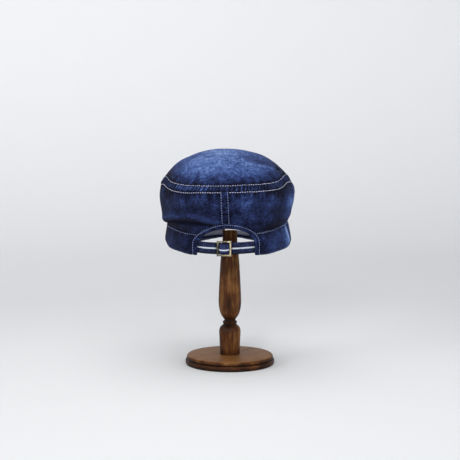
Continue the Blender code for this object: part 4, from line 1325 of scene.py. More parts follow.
class WORKCAP_OT_band(bpy.types.Operator):
    """Sews the flared band, the binding of the arch, the sweatband and the plain inner tab"""

    bl_idname = "workcap.band"
    bl_label = "Band"

    def execute(self, context):
        cloth = context.scene.workcap_cloth
        self.band(cloth.ring_columns * 4 // 5)
        self.binding()
        self.sweatband(ribbed_tape("sweatband_tape", cloth.tape, cloth.tape_line))
        self.label(ribbed_tape("label_tape", cloth.label, cloth.label))
        return {"FINISHED"}

    def band(self, columns):
        """The band runs round the front, from one side of the arch to the other."""
        top = climbed(1.0, -SEAM_GAP / 2)
        ends = {}

        def place(u, v):
            level = top * eased(v, 0.35)
            if level not in ends:
                ends[level] = band_ends(level)
            start, end = ends[level]
            angle = start + (end - start) * u
            point, _, fade = cloth_at(0, angle, level)
            return point, weave_at(0, angle, level, point), fade

        cloth_piece("band_cloth", (columns, 36), place, dark_denim(), "band", CLOTH_WALL)

    def binding(self):
        """The tape is a closed tube of its own, so it needs no wall."""

        def place(u, v):
            point, _, fade = binding_cloth(u, v)
            return point, (BINDING_WEAVE[0] * u, BINDING_WEAVE[1] * v), fade

        shape = draped_grid(*BINDING_GRID, place)
        bmesh.ops.remove_doubles(shape, verts=shape.verts, dist=1e-6)
        bmesh.ops.holes_fill(shape, edges=[e for e in shape.edges if e.is_boundary], sides=0)
        bmesh.ops.recalc_face_normals(shape, faces=shape.faces)
        mesh = smooth_mesh("arch_binding_cloth", shape, math.radians(60))
        new_piece("arch_binding_cloth", mesh, *dark_denim(), ["arch_binding"])

    def sweatband(self, tape):
        """The tape inside the band, slack in its middle and rolled at its lower edge."""
        reach = ARCH_WIDTH / 2 + STRAP_TUCK + 4 * SEAM_GAP
        start = angle_at(ARCH_X + reach, 0.5)
        end = angle_at(ARCH_X - reach, 0.5) + 2 * math.pi
        near = CLOTH_WALL + SEAM_GAP + SWEATBAND_EASE

        def place(u, v):
            angle = start + (end - start) * u
            rise = SWEATBAND_INSET + v * SWEATBAND_HEIGHT
            level = level_at(line_height("rim", angle) + rise, angle)
            point, normal = cap_frame(angle, level)
            slack = 0.0004 * ripple(angle, v, pitch=0.012, seed=71.0) * math.sin(math.pi * v)
            rolled = 0.0004 * hump(v, 0.02, 0.05)
            return point - (near - slack + rolled) * normal, (RING_RADIUS * angle, v * SWEATBAND_HEIGHT), 0.5

        cloth_piece("sweatband_tape", (360, 18), place, (tape, "grey_tape"), "sweatband", SWEATBAND_WALL)

    def label(self, tape):
        """The plain tab inside the back, whose lower edge shows in the arch."""
        near = CLOTH_WALL + BINDING_PROUD + SEAM_GAP

        def place(u, v):
            across = (0.5 - u) * LABEL_WIDTH
            curl = 0.0012 * (1 - v) * math.cos(math.pi * across / LABEL_WIDTH)
            height = ARCH_TOP - LABEL_SHOWS + LABEL_SLANT * across + v * LABEL_HEIGHT + curl
            point = back_point(ARCH_X + LABEL_OFFSET + across, height, near + 0.0003 * math.sin(3 * u + 2))
            return point, (u * LABEL_WIDTH, v * LABEL_HEIGHT), 0.5

        cloth_piece("inner_tab", (20, 16), place, (tape, "white_tape"), "inner_label", LABEL_WALL)


# Strap and buckle


def strap_inside(x):
    """Where the upright strap clears the inside of the wall at x, whatever the wall's curve up its height."""
    depth = CLOTH_WALL + BINDING_PROUD + SEAM_GAP + STRAP_WALL / 2
    height = ARCH_FOOT + STRAP_CENTRE
    places = [back_point(x, h, depth) for h in (ARCH_FOOT, height, height + STRAP_WIDTH / 2)]
    inmost = min(places, key=lambda place: place.y)
    return Vector((inmost.x, inmost.y, height))


STRAP_ENDS = [strap_inside(ARCH_X + side * ARCH_WIDTH / 2) for side in (1, -1)]


def strap_line(x):
    """Middle of the strap at x: inside the wall beside the arch, and bowed out across it."""
    share = (x - ARCH_X) / (ARCH_WIDTH / 2)
    if abs(share) >= 1:
        return strap_inside(x)
    left, right = STRAP_ENDS
    straight = right.lerp(left, (share + 1) / 2)
    rise = 1 - share**2
    return Vector((x, straight.y + STRAP_BOW * rise, straight.z - STRAP_SAG * rise))


def strap_normal(x):
    """Level direction out of the strap's face at x."""
    along = strap_line(x + REACH) - strap_line(x - REACH)
    return Vector((-along.y, along.x, 0)).normalized()


BUCKLE_X = ARCH_X + BUCKLE_OFFSET
STRAP_PITCH = STRAP_WALL + SEAM_GAP
BAR_FRONT = BUCKLE_WALL / 2 - BUCKLE_BAR_SET_BACK
BAR_BACK = -BUCKLE_WALL / 2 - BUCKLE_BAR_SET_BACK
UNDER_SIDE_BAR = -BUCKLE_WALL / 2 - SEAM_GAP - STRAP_WALL / 2
SIDE_BAR = BUCKLE_WIDTH / 2 - BUCKLE_BAR / 2


def left_strap_stops():
    """The adjustable strap: under the side bars and over the middle bar, with a short free tail.

    A stop is an x and how far the strap lies in front of its plain line there.
    """
    over = BAR_FRONT + 1.5 * STRAP_WALL + 2 * SEAM_GAP
    edge = ARCH_X + ARCH_WIDTH / 2
    stops = [(x, 0.0) for x in spaced(edge + STRAP_TUCK, edge, 4)]
    stops += [(edge + (BUCKLE_X - edge) * share, 0.0) for share in (0.15, 0.3, 0.45)]
    right_half = ((0.22, over), (0.45, over * 0.45), (0.85, UNDER_SIDE_BAR), (1.35, UNDER_SIDE_BAR))
    stops += [(BUCKLE_X + SIDE_BAR * share, lift) for share, lift in reversed(right_half)]
    stops += [(BUCKLE_X - SIDE_BAR * share, lift) for share, lift in right_half]
    return stops + [(BUCKLE_X - SIDE_BAR - STRAP_TAIL, UNDER_SIDE_BAR)]


def right_strap_stops():
    """The fixed strap: from the band to the buckle, looped round the middle bar and back on itself."""
    under = UNDER_SIDE_BAR - STRAP_PITCH
    edge = ARCH_X - ARCH_WIDTH / 2
    over = BAR_FRONT + SEAM_GAP + STRAP_WALL / 2
    behind = BAR_BACK - SEAM_GAP - STRAP_WALL / 2
    turn = SEAM_GAP + STRAP_WALL / 2
    round_corner = turn * math.sqrt(0.5)
    corner = BUCKLE_X + BUCKLE_BAR / 2
    side_bar = BUCKLE_X - SIDE_BAR
    tail = side_bar - STRAP_TAIL
    stops = [(x, 0.0) for x in spaced(edge - STRAP_TUCK, edge, 4)]
    stops += [(tail - STRAP_EASE, under / 2), (tail, under), (side_bar, under)]
    stops += [(BUCKLE_X - SIDE_BAR * 0.77, under * 0.93), (BUCKLE_X - SIDE_BAR * 0.5, under / 2)]
    stops += [(BUCKLE_X - BUCKLE_BAR / 2, over), (corner, over)]
    stops += [(corner + round_corner, BAR_FRONT + round_corner), (corner + turn, BAR_FRONT)]
    stops += [(corner + turn, BAR_BACK), (corner + round_corner, BAR_BACK - round_corner)]
    stops += [(corner, behind), (BUCKLE_X - BUCKLE_BAR / 2, behind)]
    stops += [(BUCKLE_X - SIDE_BAR * 0.6, under - STRAP_PITCH * 1.1)]
    return stops + [(side_bar - STRAP_TAIL * 0.8, under - STRAP_PITCH * 1.1)]


def rounded_path(points, passes):
    """Cuts the corners of an open path, once for each pass, and keeps its ends."""
    for _ in range(passes):
        cut = [points[0]]
        for first, second in zip(points, points[1:]):
            cut += [first.lerp(second, 0.25), first.lerp(second, 0.75)]
        points = cut + [points[-1]]
    return points


def run_lengths(points):
    """Length run along a path at each of its points."""
    runs = [0.0]
    for first, second in zip(points, points[1:]):
        runs.append(runs[-1] + (second - first).length)
    return runs


def point_at(points, runs, run):
    """The point of a path where this length has been run."""
    index = min(len(runs) - 2, max(0, int(np.searchsorted(runs, run, side="right")) - 1))
    share = (run - runs[index]) / max(1e-9, runs[index + 1] - runs[index])
    return points[index].lerp(points[index + 1], share)


# Distances from the buckle's middle: the half width of its window, how far the strap is lit with painted light
# there, where its side bars stand, and where the painted shade on the strap is darkest outside them
WINDOW = 0.0080
LIT_MIDDLE = 0.0067
SIDE_BARS_AT = 0.0090
DARKEST_SHADE = 0.0105

# How far the left strap's stripe hangs in the middle of that window, and how much less at a place beside it
STRIPE_HANG = 0.0025
STRIPE_CURVE = 0.0004
STRIPE_CURVE_AT = 0.0065


def stripe_sag(off):
    """How far the stripe hangs in the buckle's window at a distance from its middle."""
    sag = STRIPE_HANG * math.exp(-((off / WINDOW) ** 8))
    return sag - STRIPE_CURVE * (off / STRIPE_CURVE_AT) ** 2 * (off < WINDOW)


def strap_painted_shade(off, height, v):
    """Painted shade and light on the strap at a distance from the buckle's middle and a height from its own:
    dark past and under the side bars and under the top bar, lit in the window, and darker along its lower edge.
    """
    if off > SIDE_BARS_AT:
        lit_and_rubbed = 1 - 0.60 * hump(off, DARKEST_SHADE, 0.0018)
    else:
        lit_and_rubbed = 0.03 + 1.09 * step_up(-off, -LIT_MIDDLE, 0.0002)
        lit_and_rubbed *= 1 - 0.90 * hump(height, STRAP_WIDTH / 2, 0.0013)
    return lit_and_rubbed * (1 - 0.5 * hump(v, 0.0, 0.10))


class WORKCAP_OT_straps(bpy.types.Operator):
    """Threads the two striped straps through the buckle"""

    bl_idname = "workcap.straps"
    bl_label = "Straps"

    def execute(self, context):
        cloth = context.scene.workcap_cloth
        strap = striped_strap("striped_strap", cloth.strap, cloth.stripe)
        self.strap("strap_left", left_strap_stops(), strap)
        self.strap("strap_right", right_strap_stops(), strap)
        return {"FINISHED"}

    def strap(self, node, stops, material):
        """A strap along its stops. The left one's stripe hangs in the buckle's window."""
        path = rounded_path([strap_line(x) + lift * strap_normal(x) for x, lift in stops], 2)
        runs = run_lengths(path)
        hang = 1.0 if node == "strap_left" else 0.0

        def place(u, v):
            run = u * runs[-1]
            point = point_at(path, runs, run)
            height = (v - 0.5) * STRAP_WIDTH
            off = abs(point.x - BUCKLE_X)
            drawn = height + hang * stripe_sag(off) * math.cos(math.pi * (v - 0.5))
            return point + Vector((0, 0, height)), (run, drawn), strap_painted_shade(off, height, v)

        inside = Vector((ARCH_X, 0.0, ARCH_FOOT))
        cloth = material, "dark_denim"
        cloth_piece(node + "_tape", (260, 22), place, cloth, node, STRAP_WALL, inside=inside, offset=0.0)


# Roundings of the buckle: its corners, its frame's edges and its middle bar's edges
BUCKLE_CORNER = 0.0010
BUCKLE_EDGE = 0.00045
BAR_EDGE = 0.0004


class WORKCAP_OT_buckle(bpy.types.Operator):
    """Stamps the slide buckle: a thin rounded frame with a middle bar set behind it"""

    bl_idname = "workcap.buckle"
    bl_label = "Buckle"

    def execute(self, context):
        cloth = context.scene.workcap_cloth
        shape = bmesh.new()
        self.frame(shape)
        self.middle_bar(shape)
        place, normal = strap_line(BUCKLE_X), strap_normal(BUCKLE_X)
        turn = math.atan2(normal.y, normal.x) - math.pi / 2
        placed = Matrix.Translation(place) @ Matrix.Rotation(turn, 4, "Z")
        bmesh.ops.transform(shape, matrix=placed, verts=shape.verts)
        bmesh.ops.recalc_face_normals(shape, faces=shape.faces)
        brass = aged_brass_with_painted_light("aged_brass_with_painted_light", cloth.brass_lit, cloth.brass_shade_and_tarnish, BUCKLE_X)
        new_piece("slide_buckle", smooth_mesh("slide_buckle", shape), brass, "old_brass", ["buckle"])
        return {"FINISHED"}

    def frame(self, shape):
        """A plate with its corners rounded, cut through inside a rim of the bar's width, and rounded over."""
        plate = bmesh.ops.create_cube(shape, size=1.0)["verts"]
        bmesh.ops.scale(shape, vec=(BUCKLE_WIDTH, BUCKLE_WALL, BUCKLE_HEIGHT), verts=plate)
        corners = [e for e in shape.edges if abs(e.verts[0].co.y - e.verts[1].co.y) > BUCKLE_WALL / 2]
        self.rounded(shape, corners, BUCKLE_CORNER, 4)
        shape.normal_update()
        sides = [face for face in shape.faces if abs(face.normal.y) > 0.9]
        bmesh.ops.inset_individual(shape, faces=sides, thickness=BUCKLE_BAR, use_even_offset=True)
        inner = [edge for face in sides for edge in face.edges]
        bmesh.ops.delete(shape, geom=sides, context="FACES_ONLY")
        bmesh.ops.bridge_loops(shape, edges=inner)
        bmesh.ops.recalc_face_normals(shape, faces=shape.faces)
        sharp = [e for e in shape.edges if e.calc_face_angle(0) > math.radians(60)]
        self.rounded(shape, sharp, BUCKLE_EDGE, 3)

    def middle_bar(self, shape):
        """The bar that the fixed strap is looped on, set back behind the frame."""
        bar = bmesh.ops.create_cube(shape, size=1.0)["verts"]
        bmesh.ops.scale(shape, vec=(BUCKLE_BAR, BUCKLE_WALL, BUCKLE_HEIGHT - BUCKLE_BAR), verts=bar)
        bmesh.ops.translate(shape, vec=(0, -BUCKLE_BAR_SET_BACK, 0), verts=bar)
        self.rounded(shape, list({edge for vert in bar for edge in vert.link_edges}), BAR_EDGE, 2)

    def rounded(self, shape, edges, radius, segments):
        bmesh.ops.bevel(
            shape, geom=edges, offset=radius, affect="EDGES", segments=segments, profile=0.5, material=-1
        )


# Peak


@functools.cache
def peak_root(angle):
    """Where the top of the peak meets the flared band, so that its underside is level with the rim."""
    height = line_height("rim", angle) + PEAK_WALL
    point, normal = cap_frame(angle, level_at(height, angle))
    return point + SEAM_GAP * normal


PEAK_CORNER = peak_root(math.pi - PEAK_SPREAD)
PEAK_FRONT = peak_root(math.pi)
PEAK_HALF_WIDTH = PEAK_CORNER.x - centre_x(RIM_HEIGHT)

# The peak's rows of stitching by distance from its free edge, the rounding of that edge, how far its wall
# thins to bare cloth at the two ends, and over what width
PEAK_ROWS = [0.0031 + 0.0078 * number for number in range(7)]
PEAK_EDGE = 0.0009
BARE_SHARE = 0.30
BARE_WIDTH = 0.012


def peak_surface(turn, share):
    """The top of the peak: turn runs from -1 to 1 across it, share from the band's rim to the free edge."""
    root = peak_root(math.pi - turn * PEAK_SPREAD)
    round_turn = turn * math.pi / 2
    forward = PEAK_FRONT.y - PEAK_DEPTH - PEAK_CORNER.y
    edge_x = centre_x(RIM_HEIGHT) + PEAK_HALF_WIDTH * math.sin(round_turn)
    edge_y = PEAK_CORNER.y + forward * math.cos(round_turn) ** PEAK_FULLNESS
    droop = PEAK_DROOP_MIDDLE + (PEAK_DROOP_SIDES - PEAK_DROOP_MIDDLE) * abs(turn) ** PEAK_DROOP_POWER
    reach = math.hypot(edge_x - root.x, edge_y - root.y) * share
    x = root.x + (edge_x - root.x) * share
    y = root.y + (edge_y - root.y) * share
    return Vector((x, y, root.z - reach * math.tan(droop)))


@functools.cache
def peak_reach(turn):
    """Depth of the peak from the band to its free edge at a turn."""
    return (peak_surface(turn, 1.0) - peak_surface(turn, 0.0)).length


def peak_cloth(turn, share):
    """The peak's upper cloth, drawn down at its rows of stitching and puckered between them."""
    point = peak_surface(turn, share)
    inward = (1 - share) * peak_reach(turn)
    dip = sum(hump(inward, row, 0.0011) for row in PEAK_ROWS)
    pucker = blotch(point, size=0.0075, seed=91.0)
    lift = 0.0004 * (pucker - dip) * max(0.2, 1 - turn**2) - 0.0009 * hump(inward, 0.0, 0.0012)
    fade = PEAK_FADE + 0.40 * pucker - 0.10 * dip + 0.35 * hump(inward, 0.0, 0.0028)
    return point + Vector((0, 0, lift)), fade + 0.20 * blotch(point, size=0.030, seed=93.0)


def peak_turn(share):
    """Turn across the peak at a share of its width, closer together towards its two ends."""
    return PEAK_END_SHARE * math.sin((2 * share - 1) * math.pi / 2)


class WORKCAP_OT_peak(bpy.types.Operator):
    """Makes the short bowed peak, drawn down along its rows of stitching"""

    bl_idname = "workcap.peak"
    bl_label = "Peak"

    def execute(self, context):
        def place(u, v):
            point, fade = peak_cloth(peak_turn(u), v)
            return point, (point.x, point.y), fade

        below = Vector((CAP_SHIFT, -0.1, -1.0))
        piece = cloth_piece("peak_cloth", (200, 90), place, dark_denim(), "peak", PEAK_WALL, inside=below)
        self.thin_ends(piece)
        edge = piece.modifiers.new("edge", "BEVEL")
        edge.width = PEAK_EDGE
        edge.segments = 3
        edge.limit_method = "ANGLE"
        edge.angle_limit = math.radians(60)
        return {"FINISHED"}

    def thin_ends(self, piece):
        """The stiffener stops short of the peak's two ends, so the wall thins to bare cloth there."""
        full = piece.vertex_groups.new(name="stiffened")
        for vert in piece.data.vertices:
            from_end = PEAK_HALF_WIDTH - abs(vert.co.x - centre_x(RIM_HEIGHT))
            full.add([vert.index], limited(from_end / BARE_WIDTH, BARE_SHARE), "REPLACE")
        piece.modifiers["wall"].vertex_group = full.name


# Stitching

# Unevenness of the stitches: least and greatest share of their length and width, and their stray sideways
LENGTH_SHARES = (0.88, 1.08)
WIDTH_SHARES = (0.85, 1.10)
STRAY = 0.00015

# A stitch is flattened to this share of its width, and its middle stands this far out of the cloth
FLATNESS = 0.36
STITCH_RISE = 0.00010


def stitch_mesh():
    """One stitch: a unit ball of thread with its poles along X."""
    shape = bmesh.new()
    bmesh.ops.create_uvsphere(shape, u_segments=7, v_segments=6, radius=1.0)
    bmesh.ops.rotate(shape, cent=(0, 0, 0), matrix=Matrix.Rotation(math.pi / 2, 3, "Y"), verts=shape.verts)
    mesh = bpy.data.meshes.new("one_stitch")
    shape.to_mesh(mesh)
    shape.free()
    return mesh


def stitch_row(shape, path, cloth, picker):
    """Lays stitches end to end along a path of points and normals."""
    points = [place[0] for place in path]
    runs = run_lengths(points)
    count = int(runs[-1] / (cloth.stitch_length + cloth.stitch_gap))
    one = stitch_mesh()
    for number in range(count):
        middle = (number + 0.5) * runs[-1] / count
        half = cloth.stitch_length / 2 * picker.uniform(*LENGTH_SHARES)
        start, end = point_at(points, runs, middle - half), point_at(points, runs, middle + half)
        normal = path[int(np.searchsorted(runs, middle))][1]
        along = (end - start).normalized()
        side = normal.cross(along).normalized()
        up = along.cross(side)
        centre = point_at(points, runs, middle) + side * picker.uniform(-STRAY, STRAY) + up * STITCH_RISE
        width = cloth.thread_width * picker.uniform(*WIDTH_SHARES)
        turned = Matrix((along, side, up)).transposed().to_4x4()
        sized = Matrix.Diagonal((half, width / 2, width * FLATNESS, 1.0))
        stitch = one.copy()
        stitch.transform(Matrix.Translation(centre) @ turned @ sized)
        shape.from_mesh(stitch)
        bpy.data.meshes.remove(stitch)
    bpy.data.meshes.remove(one)


def ring_row(storey, level_of, start=-math.pi, end=math.pi):
    """A row round the cap on a storey's cloth, at the level given for each angle."""
    return [cloth_at(storey, angle, level_of(angle))[:2] for angle in spaced(start, end, 1500)]


def arch_row():
    """The row near the binding's outer edge; v is where its front face lies that far from the fold."""
    share = (ARCH_ROW / (BINDING_WIDTH / 2) - 1) ** (1 / SECTION_POWER)
    v = math.acos(share) / (2 * math.pi)
    return [binding_cloth(u, v)[:2] for u in spaced(0.0, 1.0, 220)]


def strip_row(u):
    """A row up the felled strip, at a share of its width."""
    return [back_seam_cloth(u, v)[:2] for v in spaced(0.0, 1.0, 80)]


def peak_row(inward):
    """A row at a distance from the peak's free edge, which runs into the band at both ends."""
    row = []
    for turn in map(peak_turn, spaced(0.0, 1.0, 400)):
        share = 1 - inward / peak_reach(turn)
        if share > 0.03:
            row.append((peak_cloth(turn, share)[0], Vector((0, 0, 1))))
    return row


class WORKCAP_OT_stitching(bpy.types.Operator):
    """Sews the rows of pale topstitching on the crown, band, arch, back seam and peak"""

    bl_idname = "workcap.stitching"
    bl_label = "Stitching"

    def execute(self, context):
        cloth = context.scene.workcap_cloth
        pale = sewing_thread("topstitch_thread", cloth.thread, 0.6)
        worn = sewing_thread("worn_thread", cloth.worn_thread, 1.5)
        level = climbed(1.0, -STITCH_INSET)
        seams = (
            ("welt_high", pale, [ring_row(2, lambda angle: welt_edge("welt_high", angle, -STITCH_INSET))]),
            ("welt_low", pale, [ring_row(1, lambda angle: welt_edge("welt_low", angle, -STITCH_INSET))]),
            ("band", worn, [ring_row(0, lambda angle: level, *band_ends(level))]),
            ("arch", worn, [arch_row()]),
            ("back_seam", worn, [strip_row(u) for u in STRIP_ROWS]),
            ("peak", pale, [peak_row(inward) for inward in PEAK_ROWS]),
        )
        for number, (seam, thread, rows) in enumerate(seams):
            shape = bmesh.new()
            picker = random.Random(number)
            for row in rows:
                stitch_row(shape, row, cloth, picker)
            bmesh.ops.recalc_face_normals(shape, faces=shape.faces)
            mesh = smooth_mesh("stitches_" + seam, shape, math.radians(80))
            new_piece("stitches_" + seam, mesh, thread, "white_tape")
        return {"FINISHED"}


# Stand

# Turned profiles, from the top down: height and diameter as shares of each part's own sizes
Turn = namedtuple("Turn", "height diameter")
BASE_PROFILE = (
    Turn(1.00, 0.930), Turn(0.985, 0.944), Turn(0.94, 0.957), Turn(0.86, 0.967), Turn(0.76, 0.972),
    Turn(0.68, 0.970), Turn(0.63, 0.964), Turn(0.60, 0.961), Turn(0.585, 0.970), Turn(0.55, 0.985),
    Turn(0.47, 0.996), Turn(0.34, 1.000), Turn(0.18, 0.998), Turn(0.06, 0.990), Turn(0.00, 0.975),
)
LOWER_PROFILE = (
    Turn(0.97, 0.690), Turn(0.92, 0.850), Turn(0.86, 0.945), Turn(0.79, 0.990), Turn(0.73, 1.000),
    Turn(0.60, 0.982), Turn(0.35, 0.950), Turn(0.00, 0.915),
)
RING_PROFILE = (
    Turn(1.00, 0.780), Turn(0.80, 0.880), Turn(0.62, 0.990), Turn(0.42, 1.000), Turn(0.22, 0.950),
    Turn(0.08, 0.895),
)
UPPER_PROFILE = (
    Turn(1.000, 0.565), Turn(0.710, 0.595), Turn(0.575, 0.637), Turn(0.510, 0.685), Turn(0.400, 0.827),
    Turn(0.350, 0.869), Turn(0.270, 0.930), Turn(0.190, 0.976), Turn(0.134, 1.000), Turn(0.100, 0.980),
    Turn(0.074, 0.930), Turn(0.048, 0.840), Turn(0.032, 0.745), Turn(0.018, 0.620), Turn(0.005, 0.500),
)

# Sizes of the post's lower body and bead ring, the rise of the head's dome, its foot as a share of its width,
# and the steps between two turns of a profile
LOWER_DIAMETER = 0.0320
LOWER_HEIGHT = 0.0454
RING_DIAMETER = 0.0213
RING_HEIGHT = 0.0061
HEAD_RISE = 0.0240
HEAD_FOOT_SHARE = 0.93
PROFILE_STEPS = 4


def profile_points(profile, diameter, height, foot):
    """Radius and height of each turn."""
    return [(turn.diameter * diameter / 2, foot + turn.height * height) for turn in profile]


def finer(points, steps=PROFILE_STEPS):
    """A smooth curve through points of radius and height, from the top down, with steps between them."""
    found = []
    last = len(points) - 1
    for index in range(last):
        before, start, end, after = (points[max(0, min(last, index + k))] for k in (-1, 0, 1, 2))
        for t in (step / steps for step in range(steps)):
            weights = (2 * t**2 - t - t**3, 2 - 5 * t**2 + 3 * t**3, t + 4 * t**2 - 3 * t**3, t**3 - t**2)
            rows = zip(before, start, end, after)
            found.append(tuple(sum(w * value for w, value in zip(weights, row)) / 2 for row in rows))
    return found + [points[last]]


class WORKCAP_OT_stand(bpy.types.Operator):
    """Turns the foot, the post and the head of the stand"""

    bl_idname = "workcap.stand"
    bl_label = "Stand"

    def execute(self, context):
        stand = context.scene.workcap_stand
        colours = (stand.wood_dark, stand.wood_middle, stand.wood_light)
        upright = stained_wood("stained_post", *colours, grain_axis=2)
        lying = stained_wood("stained_foot", *colours, grain_axis=1, grain_turn=math.radians(22))
        self.base(stand, lying)
        self.post(stand, upright)
        self.rest(stand, lying)
        return {"FINISHED"}

    def turned(self, node, name, outline, stand, wood, darken):
        """A piece turned from an outline that starts and ends on the axis, with stain and painted shade and
        light as darken says.
        """
        shape = spun(outline, stand.sides, "stain_and_shade", darken)
        new_piece(name, smooth_mesh(name, shape), wood, "stained_wood", [node])

    def base(self, stand, wood):
        low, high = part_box("stand_base")
        edge = finer(profile_points(BASE_PROFILE, high.x - low.x, high.z - low.z, low.z))
        outline = [(0.0, high.z), (edge[0][0] * 0.5, high.z)] + edge + [(0.0, low.z)]

        def darken(place):
            """Stain and painted shade in the groove, painted shade low on the edge, and painted light on the
            top from above.
            """
            share = (place.z - low.z) / (high.z - low.z)
            # Stain and painted shade in the groove, painted shade under the edge, painted light on the top
            groove = 0.36 * hump(share, 0.60, 0.08)
            under = 0.38 * hump(share, 0.0, 0.34)
            return 0.09 + groove + under - 0.34 * limited((share - 0.89) / 0.10)

        self.turned("stand_base", "turned_foot", outline, stand, wood, darken)

    def post(self, stand, wood):
        low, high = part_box("stand_post")
        ring_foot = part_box("stand_base")[1].z + LOWER_HEIGHT
        upper_foot = ring_foot + RING_HEIGHT
        points = profile_points(UPPER_PROFILE, high.x - low.x, high.z - upper_foot, upper_foot)
        points += profile_points(RING_PROFILE, RING_DIAMETER, RING_HEIGHT, ring_foot)
        points += profile_points(LOWER_PROFILE, LOWER_DIAMETER, ring_foot - low.z, low.z)
        outline = [(0.0, high.z)] + finer(points) + [(0.0, low.z)]

        def darken(place):
            """Darker at the neck and the foot and in a knot, with painted shade under the ring and inside the
            cap, painted shade on the +X side and painted light on the -X side, and a painted highlight low on
            the body.
            """
            neck = 0.36 * hump(math.hypot(place.x, place.y), 0.0070, 0.0042) * (place.z < 0.10)
            foot = 0.16 * hump(place.z, low.z, 0.008)
            # Painted shade under the ring, a painted highlight below it, painted shade inside the cap, and
            # painted light across the post from -X to +X
            shade_under_ring = 0.20 * hump(place.z, ring_foot - 0.004, 0.006)
            highlight_on_body = 0.07 * hump(place.z, 0.046, 0.010)
            shade_in_cap = 0.14 * limited((place.z - 0.160) / 0.020)
            light_across = place.x / LOWER_DIAMETER * (0.30 if place.z < ring_foot else 0.10)
            knot = 0.30 * hump(place.x, 0.0010, 0.0036) * hump(place.z, ring_foot + 0.031, 0.0110)
            return neck + foot + shade_under_ring - highlight_on_body + shade_in_cap + light_across + knot

        self.turned("stand_post", "turned_post", outline, stand, wood, darken)

    def rest(self, stand, wood):
        """The domed head that carries the crown from inside."""
        low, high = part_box("stand_rest")
        turns = spaced(0.0, math.pi / 2, 24)
        dome = [(high.x * math.sin(turn), high.z - HEAD_RISE * (1 - math.cos(turn))) for turn in turns]
        outline = dome + [(high.x * HEAD_FOOT_SHARE, low.z), (0.0, low.z)]
        self.turned("stand_rest", "turned_head", outline, stand, wood, lambda place: 0.0)


# Stage

# Soft round lights: where each stands, where it aims, how wide it is in metres, its power in watts, its tint
Lamp = namedtuple("Lamp", "name place target size power colour")
COOL, WARM = (0.975, 0.98, 1.0), (1.0, 0.98, 0.95)
LAMPS = (
    Lamp("top_softbox", (0.0, 0.10, 1.80), (0.0, 0.0, 0.18), 1.6, 9.0, COOL),
    Lamp("key_softbox", (-0.60, 1.50, 1.30), (0.0, 0.0, 0.18), 1.4, 8.9, COOL),
    Lamp("low_softbox", (0.36, 1.75, 0.95), (0.0, 0.0, 0.18), 0.5, 10.6, WARM),
    Lamp("side_softbox", (1.60, 0.90, 0.90), (0.6, -0.4, 0.0), 0.8, 7.6, WARM),
    Lamp("edge_softbox", (-1.30, 0.70, 0.60), (0.0, 0.0, 0.18), 0.7, 1.8, COOL),
    Lamp("wall_light_left", (0.90, -0.90, 1.70), (0.6, -2.3, 0.9), 1.0, 6.8, WARM),
    Lamp("wall_light", (0.0, -1.10, 1.90), (0.0, -2.3, 1.5), 1.2, 5.8, COOL),
)
WORLD_COLOUR = (0.965, 0.98, 1.0, 1.0)
WORLD_STRENGTH = 0.358

# The paper sweep: its flat floor, the radius of its curve and its top in metres, and its steps round
SWEEP_FLAT = 1.3
SWEEP_BEND = 1.0
SWEEP_TOP = 1.9
SWEEP_SIDES = 96

# How far the camera stands to the -X side, in metres
CAMERA_SIDE = 0.0002


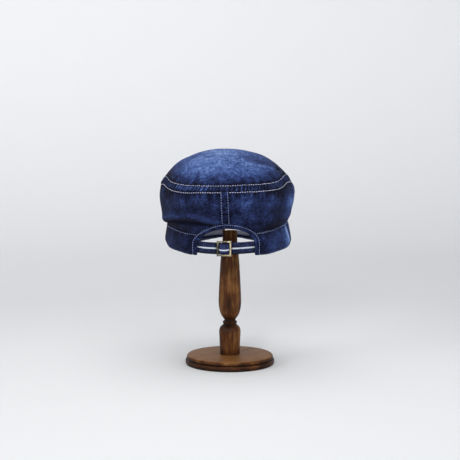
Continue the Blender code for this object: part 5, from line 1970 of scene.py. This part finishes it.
class WORKCAP_OT_stage(bpy.types.Operator):
    """Sets up the paper sweep, the soft lights and the camera"""

    bl_idname = "workcap.stage"
    bl_label = "Stage"

    def execute(self, context):
        stage = context.scene.workcap_stage
        self.camera(context, stage)
        self.sweep(context, stage)
        self.world(context)
        for lamp in LAMPS:
            self.light(context, lamp)
        context.scene.view_settings.view_transform = "Standard"
        return {"FINISHED"}

    def camera(self, context, stage):
        """Looks at the arched back from the photo's height, slightly down."""
        camera = bpy.data.cameras.new("photo_camera")
        camera.lens = stage.focal_length
        camera.sensor_width = 36.0
        holder = bpy.data.objects.new("photo_camera", camera)
        holder.location = (-CAMERA_SIDE, stage.camera_distance, stage.camera_height)
        holder.rotation_euler = (math.pi / 2 - stage.camera_pitch, 0.0, math.pi)
        context.scene.collection.objects.link(holder)
        context.scene.camera = holder

    def sweep(self, context, stage):
        """A round paper sweep: a floor, a wide curve and a wall, each point with its share of the run."""
        outline = [(radius, 0.0) for radius in spaced(0.0, SWEEP_FLAT, 9)]
        for turn in spaced(0.08, math.pi / 2, 20):
            outline.append((SWEEP_FLAT + SWEEP_BEND * math.sin(turn), SWEEP_BEND * (1 - math.cos(turn))))
        outline.append((SWEEP_FLAT + SWEEP_BEND, SWEEP_TOP))

        def run(place):
            radius = math.hypot(place.x, place.y)
            lean = math.acos(limited(1 - place.z / SWEEP_BEND, -1.0))
            length = radius if radius < SWEEP_FLAT else SWEEP_FLAT + SWEEP_BEND * lean
            return length / (SWEEP_FLAT + SWEEP_BEND * math.pi / 2)

        shape = spun(outline, SWEEP_SIDES, "run", run)
        if sum(face.normal.z for face in shape.faces) < 0:
            bmesh.ops.reverse_faces(shape, faces=shape.faces)
        mesh = smooth_mesh("paper_sweep", shape)
        mesh.materials.append(studio_paper("studio_paper", stage.floor, stage.shade, stage.wall))
        sweep = bpy.data.objects.new("paper_sweep", mesh)
        context.scene.collection.objects.link(sweep)

    def world(self, context):
        """Even light from all round."""
        world = bpy.data.worlds.new("soft_studio")
        world.use_nodes = True
        background = world.node_tree.nodes["Background"]
        background.inputs["Color"].default_value = WORLD_COLOUR
        background.inputs["Strength"].default_value = WORLD_STRENGTH
        context.scene.world = world

    def light(self, context, lamp):
        disk = bpy.data.lights.new(lamp.name, "AREA")
        disk.shape = "DISK"
        disk.size = lamp.size
        disk.energy = lamp.power
        disk.color = lamp.colour
        holder = bpy.data.objects.new(lamp.name, disk)
        holder.location = lamp.place
        aim = Vector(lamp.target) - holder.location
        holder.rotation_euler = aim.to_track_quat("-Z", "Y").to_euler()
        context.scene.collection.objects.link(holder)


class WORKCAP_PT_sidebar(bpy.types.Panel):
    """Lists the steps that dress the cap and its stand"""

    bl_label = "Work Cap"
    bl_idname = "WORKCAP_PT_sidebar"
    bl_space_type = "VIEW_3D"
    bl_region_type = "UI"
    bl_category = "Work Cap"

    def draw(self, context):
        for operator in OPERATORS:
            self.layout.operator(operator.bl_idname)
        for place in GROUPS:
            group = getattr(context.scene, place)
            for name in group.__annotations__:
                self.layout.prop(group, name)


OPERATORS = (
    WORKCAP_OT_stage,
    WORKCAP_OT_crown,
    WORKCAP_OT_back_seam,
    WORKCAP_OT_band,
    WORKCAP_OT_straps,
    WORKCAP_OT_buckle,
    WORKCAP_OT_peak,
    WORKCAP_OT_stitching,
    WORKCAP_OT_stand,
)
GROUPS = {
    "workcap_cloth": WORKCAP_PG_cloth,
    "workcap_stand": WORKCAP_PG_stand,
    "workcap_stage": WORKCAP_PG_stage,
}
CLASSES = (*GROUPS.values(), *OPERATORS, WORKCAP_PT_sidebar)


def register():
    for item in CLASSES:
        bpy.utils.register_class(item)
    for place, group in GROUPS.items():
        setattr(bpy.types.Scene, place, PointerProperty(type=group))


def unregister():
    for place in GROUPS:
        delattr(bpy.types.Scene, place)
    for item in reversed(CLASSES):
        bpy.utils.unregister_class(item)


def main():
    register()
    bpy.ops.workcap.stage()
    bpy.ops.workcap.crown()
    bpy.ops.workcap.back_seam()
    bpy.ops.workcap.band()
    bpy.ops.workcap.straps()
    bpy.ops.workcap.buckle()
    bpy.ops.workcap.peak()
    bpy.ops.workcap.stitching()
    bpy.ops.workcap.stand()


if __name__ == "__main__":
    main()
